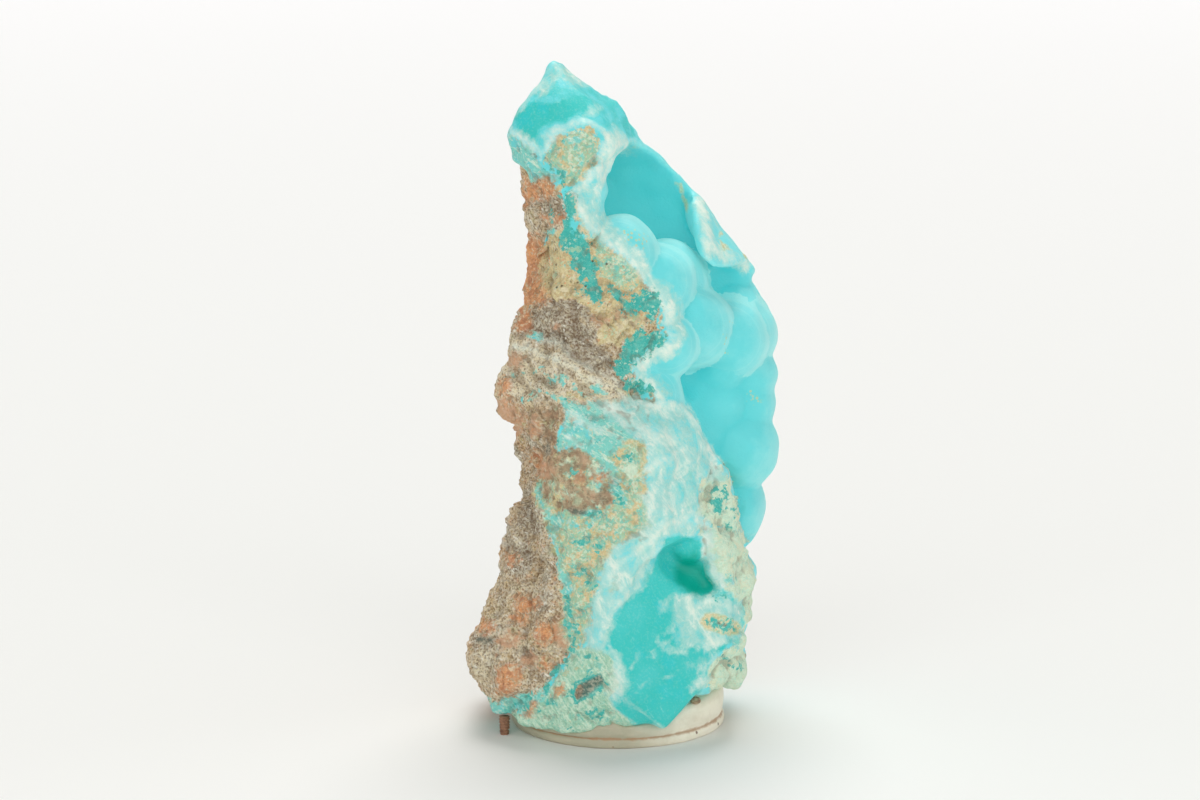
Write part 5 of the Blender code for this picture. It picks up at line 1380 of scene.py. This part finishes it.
@dataclass
class Stone:
    """The specimen: one fused solid of broken blocks, hollows, lobes and relief."""

    view: FrontView
    block_voxel: float = 0.65
    skin_voxel: float = 0.38
    triangles: int = 196000
    quick_voxel: float = 0.9
    floor: float = 2.3
    lump_size: float = 5.6
    lump_height: float = 1.3
    grain_size: float = 3.0
    grain_height: float = 0.5
    crust_calm: float = 0.92
    lobe_skin: float = 1.3
    rimmed_lobes: int = 9
    ledge_size: float = 10.0
    ledge_steps: float = 3.0
    ledge_height: float = 0.7
    ridge_pitch: float = 4.2
    ridge_height: float = 0.45
    ridge_centre: Point = (-9.0, -9.0, 60.0)
    ridge_reach: float = 13.0
    ridge_normal: Point = (0.50, 0.0, 0.86)
    facets: tuple[tuple[float, float], ...] = ((3.6, 0.44), (1.5, 0.30))
    fine_height_share: float = 0.22
    even_calm: float = 0.62
    soften_rounds: int = 10
    swell_height: float = 0.38
    crust_gain: float = 0.4
    swell_size: float = 3.6
    strays: tuple[tuple[float, float], ...] = ((3.4, 6.0), (1.3, 3.0))
    zone_margin: float = 24.0
    peg_seat: float = 2.6
    seed: int = 5
    finish: StoneFinish = field(default_factory=StoneFinish)

    def side_lobes(self) -> list[tuple[float, float, float, float]]:
        """Lobes of the unseen right side, in staggered rows."""
        rng = random.Random(self.seed)
        lobes = []
        for row, z in enumerate(SIDE_LOBE_ROWS):
            for y in SIDE_LOBE_COLUMNS:
                radius = rng.uniform(*SIDE_LOBE_RADII)
                reach = SIDE_LOBE_REACH - (1.2 if z < 40 else 0.0) - 0.12 * abs(y - 12.0)
                reach -= 1.4 if z < 33 else 0.0
                side = 1.1 if row % 2 else -1.1
                lobes.append((reach - radius, y + side + rng.uniform(-0.9, 0.9), z + rng.uniform(-1.6, 1.6), radius))
        return lobes

    def smooth_shares(self, points: np.ndarray) -> np.ndarray:
        """For each point, 1 on the crust, in the hollows and on the flat faces, and 0 on bare rock."""
        nearest = np.full(len(points), np.inf)
        for x, y, z, radius in FRONT_LOBES + CAVITY_LOBES + GAP_LOBES + self.side_lobes():
            nearest = np.minimum(nearest, abs(np.linalg.norm(points - (x, y, z), axis=1) - radius))
        for x, y, z, radius in FLAT_SPOTS:
            nearest = np.minimum(nearest, np.linalg.norm(points - (x, y, z), axis=1) - radius)
        for centre, radii, turn in HOLLOWS:
            local = (points - centre) @ np.array(Matrix.Rotation(math.radians(turn), 3, "Y"))
            reach = np.linalg.norm(local / radii, axis=1)
            nearest = np.minimum(nearest, abs(reach - 1.0) * min(radii))
        return np.clip(1.6 - nearest, 0.0, 1.0)

    def lobe_shares(self, points: np.ndarray) -> np.ndarray:
        """For each point on a front lobe, 0 at the lobe's middle in the view up to 1 at its outline."""
        # The crust paints these outlines lighter, partly as real growth bands and partly as painted edge light.
        nearest = np.full(len(points), self.lobe_skin)
        shares = np.zeros(len(points))
        for place, (x, y, z, radius) in enumerate(FRONT_LOBES):
            local = points - (x, y, z)
            height = np.linalg.norm(local, axis=1) - radius
            ahead = local @ self.view.towards
            aside = np.sqrt(np.maximum(0.0, (height + radius) ** 2 - ahead ** 2)) / radius
            own = (np.abs(height) < self.lobe_skin) & (height < nearest)
            nearest[own] = height[own]
            shares[own] = aside[own] if place < self.rimmed_lobes else 0.0
        return shares

    def rock_height(self, point: Vector) -> float:
        """Height of the rock's ledges, ridges, lumps and grain over its blocks, in millimetres."""
        lumps = noise.voronoi(point / self.lump_size)[0][0]
        grain = noise.fractal(point / self.grain_size, 0.9, 2.1, 3)
        level = noise.noise(point / self.ledge_size) * self.ledge_steps
        step = math.floor(level) + min(1.0, 3.0 * (level - math.floor(level)))
        bend = 0.9 * noise.noise(point / self.lump_size)
        wave = math.sin(math.tau * (point.dot(Vector(self.ridge_normal)) / self.ridge_pitch + bend))
        ridged = max(0.0, 1.0 - (point - Vector(self.ridge_centre)).length / self.ridge_reach)
        height = self.lump_height * (0.42 - lumps) + self.grain_height * grain
        height += self.ledge_height * step / self.ledge_steps
        return height + self.ridge_height * wave * min(1.0, 2.0 * ridged)

    def fine_height(self, point: Vector) -> float:
        """Height of the rock's finer crumbs and fibres, in millimetres."""
        height = self.fine_height_share * noise.fractal(point / 1.2, 0.75, 2.2, 3)
        for size, tilt in self.facets:
            middle = noise.voronoi(point / size)[1][0]
            slope = noise.noise_vector(middle * 7.3 + Vector((0.0, 0.0, size)))
            height += tilt * size * (point / size - middle).dot(slope) + 0.2 * tilt * slope.x
        along = point.x * 0.9 - point.z * 0.42
        across = point.z * 0.9 + point.x * 0.42
        return height + 0.22 * noise.noise(Vector((along / 4.0, point.y / 2.0, across / 0.8)))

    def body(self) -> bpy.types.Mesh:
        """Fuse the blocks, scoop the hollows and add the lobes."""
        shell = bmesh.new()
        for points in BLOCKS.values():
            Forge.hull(shell, points)
        block = Forge.fuse(shell, self.block_voxel)
        shell = bmesh.new()
        for centre, radii, turn in HOLLOWS:
            Forge.ball(shell, centre, radii, turn)
        carved = Forge.carve(block, Forge.fuse(shell, self.skin_voxel))
        shell = bmesh.new()
        shell.from_mesh(carved)
        for points in RIM_BLOCKS.values():
            Forge.hull(shell, points)
        for x, y, z, radius in FRONT_LOBES + CAVITY_LOBES + GAP_LOBES + self.side_lobes() + ROCK_LUMPS + GAP_LUMPS:
            Forge.ball(shell, (x, y, z), (radius, radius, radius))
        return Forge.fuse(shell, self.voxel)

    def roughen(self, mesh: bpy.types.Mesh) -> None:
        """Raise the relief of the bare rock and keep the stone over its floor and peg."""
        points = Forge.points(mesh)
        found = self.distances(points)
        crust = 1.0 - stepped(self.broken(found), -2.0, 0.5)
        smooth = self.smooth_shares(points)
        rounds = round(self.soften_rounds * (self.skin_voxel / self.voxel) ** 2)
        soft = Forge.relaxed(mesh, points, max(2, rounds))
        points = points + (soft - points) * (crust * smooth)[:, None]
        Forge.move(mesh, points)
        normals = Forge.normals(mesh)
        bare = 1.0 - self.crust_calm * smooth
        heights = np.array([self.rock_height(Vector(point)) for point in points])
        fine = np.array([self.fine_height(Vector(point)) for point in points])
        swell = np.array([noise.noise(Vector(point) / self.swell_size) for point in points])
        flat = stepped(self.solid(found), -1.5, 0.5)
        even = (Mineral.SPECKLE, Mineral.AQUA, Mineral.MINT, Mineral.MILK, Mineral.TEAL)
        calm = stepped(np.maximum.reduce([found[mineral] for mineral in even]), -1.0, 0.8)
        relief = bare * heights + (1.0 - crust) * (1.0 - 0.85 * flat) * (1.0 - self.even_calm * calm) * fine
        relief += crust * (1.0 - flat) * (self.swell_height * swell + self.crust_gain * smooth)
        for (x, y, z, radius), depth in SUNK_EDGES:
            reach = np.linalg.norm(points - (x, y, z), axis=1)
            relief -= depth * (1.0 - stepped(reach, 0.6 * radius, radius))
        points = points + normals * relief[:, None]
        seat = np.hypot(points[:, 0] - PEG_CENTRE[0], points[:, 1] - PEG_CENTRE[1]) < self.peg_seat
        points[:, 2] = np.maximum(points[:, 2], np.where(seat, PEG_HEIGHT + 0.1, self.floor))
        Forge.move(mesh, points)

    def thin(self, mesh: bpy.types.Mesh) -> bpy.types.Mesh:
        """Mesh with no more triangles than it may have, which are lost where it is smooth."""
        if 2 * len(mesh.polygons) <= self.triangles:
            return mesh
        made = bpy.data.objects.new("thinned", mesh)
        bpy.context.scene.collection.objects.link(made)
        fewer = made.modifiers.new("thin", "DECIMATE")
        fewer.ratio = self.triangles / (2.0 * len(mesh.polygons))
        return Forge.settle(made)

    @property
    def voxel(self) -> float:
        return self.skin_voxel

    @staticmethod
    def solid(found: dict[Mineral, np.ndarray]) -> np.ndarray:
        """How far points are inside the faces of solid turquoise."""
        return np.maximum.reduce([found[mineral] for mineral in (Mineral.GLASS, Mineral.DEEP, Mineral.FACE)])

    @staticmethod
    def broken(found: dict[Mineral, np.ndarray]) -> np.ndarray:
        """How far points are inside the broken, rough faces."""
        rough = (Mineral.ROCK, Mineral.TAN, Mineral.SPECKLE, Mineral.MINT, Mineral.AQUA, Mineral.OLIVE)
        return np.maximum.reduce([found[mineral] for mineral in rough])

    def sway(self, point: Vector) -> tuple[float, float]:
        """How far the zones' edges stray right and down in the view at a point."""
        total = Vector((0.0, 0.0, 0.0))
        for size, reach in self.strays:
            total += noise.noise_vector(point / size) * reach
        return total.x, total.z

    def distances(self, points: np.ndarray) -> dict[Mineral, np.ndarray]:
        """How far points are inside each mineral's zones.

        Args:
            points: Rows of the stone's points in millimetres.

        Returns:
            One distance a point for each mineral, in millimetres and below 0 outside.
        """
        seen = self.view.project(points)
        wander = np.array([noise.fractal(Vector(point) / 4.0, 1.0, 2.0, 3) for point in points])
        sway = np.array([self.sway(Vector(point)) for point in points])
        depth = points[:, 1]
        found = {mineral: np.full(len(points), -8.0) for mineral in Mineral}
        for patch in patches():
            corners = np.array(patch.outline)
            swayed = seen + patch.stray * sway
            low, high = corners.min(axis=0) - self.zone_margin, corners.max(axis=0) + self.zone_margin
            near = np.flatnonzero(np.all((swayed > low) & (swayed < high), axis=1) & (depth < patch.reach + 6.0))
            flat = inside(swayed[near], patch.outline) * self.view.unit
            limit = patch.reach - depth[near] + 1.5 * wander[near]
            found[patch.mineral][near] = np.maximum(found[patch.mineral][near], np.minimum(flat, limit))
        x, y, z = points.T
        side = np.minimum(90.0 - z, np.maximum(-11.0 - x, y - 14.5)) + 1.5 * wander
        found[Mineral.ROCK] = np.minimum(np.maximum(found[Mineral.ROCK], side), -self.solid(found))
        return found

    def dress(self, mesh: bpy.types.Mesh) -> None:
        """Let the mesh carry what its material reads: minerals, valleys and edges."""
        points = Forge.points(mesh)
        for mineral, values in self.distances(points).items():
            Forge.mark(mesh, mineral.value, np.clip(values, -6.0, 6.0))
        normals = Forge.normals(mesh)
        spread = (self.skin_voxel / self.voxel) ** 2
        near = Forge.relaxed(mesh, points, max(1, round(6 * spread)))
        wide = Forge.relaxed(mesh, points, max(2, round(60 * spread)))
        broad = Forge.relaxed(mesh, normals, 12)
        broad /= np.linalg.norm(broad, axis=1, keepdims=True)
        Forge.mark(mesh, "crevice", 0.5 + np.einsum("ij,ij->i", near - points, normals) * 3.0)
        Forge.mark(mesh, "valley", 0.5 + np.einsum("ij,ij->i", wide - points, normals) * 0.6)
        # edge_on, how far a surface turns away from the front view, sets where the crust gets its painted sheen; valley
        # above sets its painted shade.
        Forge.mark(mesh, "edge_on", 1.0 - np.clip(broad @ self.view.towards, 0.0, 1.0))
        Forge.mark(mesh, "lobe", self.lobe_shares(points))

    def build(self) -> Piece:
        """Make the stone's mesh and dress it.

        Returns:
            The finished piece.
        """
        mesh = self.body()
        self.roughen(mesh)
        mesh = self.thin(mesh)
        self.dress(mesh)
        piece = Piece("hemimorphite_stone", mesh, self.finish.material())
        piece.hand_over("stone", "hemimorphite")
        return piece


@dataclass
class Putty:
    """The pad of mounting putty, pressed down by the stone and smudged by fingers."""

    radius: float = 17.3
    seam_height: float = 1.45
    seam_depth: float = 0.5
    top_left: float = 2.6
    top_right: float = 6.5
    rings: int = 40
    turns: int = 220
    finish: PuttyFinish = field(default_factory=PuttyFinish)

    def profile(self) -> list[tuple[float, float, float]]:
        """Radius, height over a top of 3 mm and seam share, from the middle over the rim and below."""
        inner = self.radius - 1.0
        rows = [(inner * ring / self.rings, 3.0, 0.0) for ring in range(1, self.rings + 1)]
        rows += [(self.radius - 0.55, 2.93, 0.0), (self.radius - 0.25, 2.72, 0.0), (self.radius - 0.1, 2.4, 0.0)]
        rows += [(self.radius - 0.06, 2.0, 0.0), (self.radius - 0.16, 1.7, 0.3), (self.radius - self.seam_depth, 1.5, 1.0)]
        rows += [(self.radius - 0.14, 1.3, 0.4), (self.radius - 0.02, 1.05, 0.0), (self.radius, 0.7, 0.0)]
        rows += [(self.radius - 0.03, 0.35, 0.0), (self.radius - 0.2, 0.08, 0.0), (self.radius - 0.6, 0.0, 0.0)]
        return rows

    def build(self, stone: Piece) -> Piece:
        """Make the putty under the stone.

        Args:
            stone: What is pressed into it.

        Returns:
            The finished piece.
        """
        shell = bmesh.new()
        seam_layer = shell.verts.layers.float.new("seam")
        tree = BVHTree.FromObject(stone.object, bpy.context.evaluated_depsgraph_get())
        rows = self.profile()
        middle = shell.verts.new((0.0, 0.0, self.height(0.0, 0.0, 3.0, tree) * MM))
        below = shell.verts.new((0.0, 0.0, 0.0))
        loops = []
        for radius, height, seam in rows:
            loop = []
            for turn in range(self.turns):
                angle = math.tau * turn / self.turns
                heading = Vector((math.cos(angle), math.sin(angle), height * 0.4))
                wobble = 0.16 * noise.noise(heading * 2.3) + 0.07 * noise.noise(heading * 7.0)
                reach = radius + (wobble if radius > self.radius - 1.5 else 0.0)
                x, y = reach * heading.x, reach * heading.y
                vert = shell.verts.new(Vector((x, y, self.height(x, y, height, tree))) * MM)
                vert[seam_layer] = seam
                loop.append(vert)
            loops.append(loop)
        for first, second in zip(loops, loops[1:]):
            for turn in range(self.turns):
                after = (turn + 1) % self.turns
                shell.faces.new((first[turn], second[turn], second[after], first[after]))
        for turn in range(self.turns):
            after = (turn + 1) % self.turns
            shell.faces.new((middle, loops[0][turn], loops[0][after]))
            shell.faces.new((below, loops[-1][after], loops[-1][turn]))
        bmesh.ops.recalc_face_normals(shell, faces=shell.faces)
        mesh = bpy.data.meshes.new("putty")
        shell.to_mesh(mesh)
        shell.free()
        piece = Piece("putty_pad", mesh, self.finish.material())
        piece.hand_over("putty", "putty_base")
        return piece

    def height(self, x: float, y: float, level: float, tree: BVHTree) -> float:
        """Height of a spot of the putty, in millimetres.

        Args:
            x: The spot's place to the right.
            y: Its place to the back.
            level: Its height on a pad 3 mm high.
            tree: The stone's surface.

        Returns:
            The height once the top slopes and the stone has pressed it down.
        """
        if level <= self.seam_height:
            return level
        top = self.top_left + (self.top_right - self.top_left) * (x + self.radius) / (2 * self.radius)
        top += 0.3 * noise.noise(Vector((x, y, 5.0)) / 4.0) + 0.12 * noise.noise(Vector((x, y, 1.0)) / 1.3)
        hit = tree.ray_cast(Vector((x, y, -1.0)) * MM, Vector((0.0, 0.0, 1.0)))[0]
        if hit is not None:
            top = min(top, hit.z / MM + 0.1)
        return self.seam_height + (level - self.seam_height) / (3.0 - self.seam_height) * (top - self.seam_height)


def turned(name: str, profile: list[tuple[float, float]], steps: int, centre: Point, rough: float) -> bpy.types.Mesh:
    """Closed turned mesh with an uneven skin.

    Args:
        name: The mesh's name.
        profile: Radius and height from its top down, without its two poles.
        steps: Number of points round it.
        centre: Where it stands.
        rough: How uneven it is, in millimetres.

    Returns:
        The mesh.
    """
    shell = bmesh.new()
    loops = []
    for radius, height in profile:
        loop = []
        for turn in range(steps):
            angle = math.tau * turn / steps
            spot = Vector((math.cos(angle), math.sin(angle), height))
            reach = radius + rough * noise.noise(spot * 2.0)
            loop.append(shell.verts.new((Vector((reach * spot.x, reach * spot.y, height)) + Vector(centre)) * MM))
        loops.append(loop)
    for first, second in zip(loops, loops[1:]):
        for turn in range(steps):
            after = (turn + 1) % steps
            shell.faces.new((first[turn], second[turn], second[after], first[after]))
    for loop in (loops[0], loops[-1]):
        shell.faces.new(loop)
    bmesh.ops.recalc_face_normals(shell, faces=shell.faces)
    mesh = bpy.data.meshes.new(name)
    shell.to_mesh(mesh)
    shell.free()
    return mesh


@dataclass
class Peg:
    """The ribbed brown peg under the lower left corner."""

    ribs: int = 6
    rib_depth: float = 0.16
    rows_a_rib: int = 8
    finish: PlainFinish = PlainFinish("brown_peg", (158, 116, 90), (116, 80, 60), 0.9)

    def build(self) -> Piece:
        """Make the peg."""
        rows = self.ribs * self.rows_a_rib
        profile = []
        for row in range(rows + 1):
            height = PEG_HEIGHT * (1.0 - row / rows)
            wave = 0.5 - 0.5 * math.cos(math.tau * row / self.rows_a_rib)
            cap = 0.12 * max(0.0, 1.0 - min(row, rows - row) / 2.0)
            profile.append((PEG_RADIUS * (0.98 - 0.18 * row / rows) - self.rib_depth * wave - cap, height))
        mesh = turned("peg", profile, 40, (*PEG_CENTRE, 0.0), 0.12)
        piece = Piece("prop_peg_ribbed", mesh, self.finish.material())
        piece.hand_over("peg", "prop_peg")
        return piece


@dataclass
class Pebble:
    """The tiny loose pebble on the putty."""

    centre: Point = (12.3, -11.3, 6.3)
    radii: Point = (0.9, 0.75, 0.6)
    finish: PlainFinish = PlainFinish("grit", (196, 170, 138), (132, 104, 80), 0.5)

    def build(self) -> Piece:
        """Make the pebble."""
        shell = bmesh.new()
        bmesh.ops.create_icosphere(shell, subdivisions=4, radius=1.0)
        for vert in shell.verts:
            bulge = 1.0 + 0.12 * noise.noise(vert.co * 1.3) + 0.04 * noise.noise(vert.co * 5.0)
            place = [self.centre[axis] + vert.co[axis] * bulge * self.radii[axis] for axis in range(3)]
            vert.co = Vector(place) * MM
        mesh = bpy.data.meshes.new("pebble")
        shell.to_mesh(mesh)
        shell.free()
        piece = Piece("grit_pebble_stone", mesh, self.finish.material())
        piece.hand_over("grit", "grit_pebble")
        return piece


@dataclass(frozen=True)
class Lamp:
    """A broad soft light from far away."""

    name: str
    azimuth: float
    elevation: float
    strength: float
    spread: float
    colour: Colour = (255, 255, 253)

    def hang(self) -> None:
        """Put the light in the scene. Azimuth 0 is the viewer's side and 90 is on the left."""
        data = bpy.data.lights.new(self.name, "SUN")
        data.energy = self.strength
        data.angle = math.radians(self.spread)
        data.color = linear(self.colour)[:3]
        lamp = bpy.data.objects.new(self.name, data)
        bpy.context.scene.collection.objects.link(lamp)
        turn, rise = math.radians(self.azimuth), math.radians(self.elevation)
        source = Vector((-math.sin(turn) * math.cos(rise), -math.cos(turn) * math.cos(rise), math.sin(rise)))
        lamp.rotation_euler = source.to_track_quat("Z", "Y").to_euler()


@dataclass
class Studio:
    """The seamless pale floor, the white surroundings and the soft lights."""

    floor_radius: float = 6000.0
    # Painted shade: the floor is darker in front and lighter far behind, painted to copy how the light falls off.
    floor_near_shaded: Colour = (239, 239, 237)
    floor_far_lit: Colour = (250, 249, 250)
    fade_start: float = 100.0
    fade_length: float = 1500.0
    sky_colour: Colour = (252, 252, 250)
    sky_strength: float = 0.16
    lamps: tuple[Lamp, ...] = (
        Lamp("top_back", 184.0, 66.0, 2.05, 36.0),
        Lamp("front_fill", 0.0, 24.0, 1.5, 80.0),
        Lamp("left_fill", 75.0, 22.0, 0.4, 70.0),
        Lamp("right_fill", 285.0, 22.0, 0.5, 70.0),
    )

    def floor(self) -> None:
        """Make the floor."""
        shell = bmesh.new()
        bmesh.ops.create_grid(shell, x_segments=1, y_segments=1, size=self.floor_radius * MM)
        mesh = bpy.data.meshes.new("floor")
        shell.to_mesh(mesh)
        shell.free()
        material, graph = new_material("floor_white")
        split = graph.node("ShaderNodeSeparateXYZ", None, {0: graph.place(0.0, 0.0, (1.0, 1.0, 1.0))})
        # Share of the lighter far colour, which paints the floor's falloff of light.
        far = Value(graph, split.outputs[1]).over(self.fade_start + self.fade_length / 2, self.fade_length)
        shader = graph.principled(
            Base_Color=graph.mix(far, self.floor_near_shaded, self.floor_far_lit), Roughness=0.7, Specular_IOR_Level=0.05)
        graph.node("ShaderNodeOutputMaterial", None, {"Surface": shader})
        mesh.materials.append(material)
        ground = bpy.data.objects.new("floor", mesh)
        bpy.context.scene.collection.objects.link(ground)

    def sky(self) -> None:
        """Make the white surroundings."""
        world = bpy.data.worlds.new("white_room")
        world.use_nodes = True
        graph = Graph(world.node_tree)
        light = graph.node("ShaderNodeBackground", None, {0: linear(self.sky_colour), 1: self.sky_strength})
        graph.node("ShaderNodeOutputWorld", None, {"Surface": light.outputs[0]})
        bpy.context.scene.world = world

    def build(self, view: FrontView) -> None:
        """Set up the floor, the surroundings, the lights and the camera."""
        self.floor()
        self.sky()
        for lamp in self.lamps:
            lamp.hang()
        bpy.context.scene.camera = view.camera()
        bpy.context.scene.view_settings.view_transform = "Standard"


def main() -> None:
    """Build the specimen, what it stands on and the studio."""
    logging.basicConfig(level=logging.INFO)
    view = FrontView()
    stone = Stone(view).build()
    Putty().build(stone)
    Peg().build()
    Pebble().build()
    Studio().build(view)


if __name__ == "__main__":
    main()
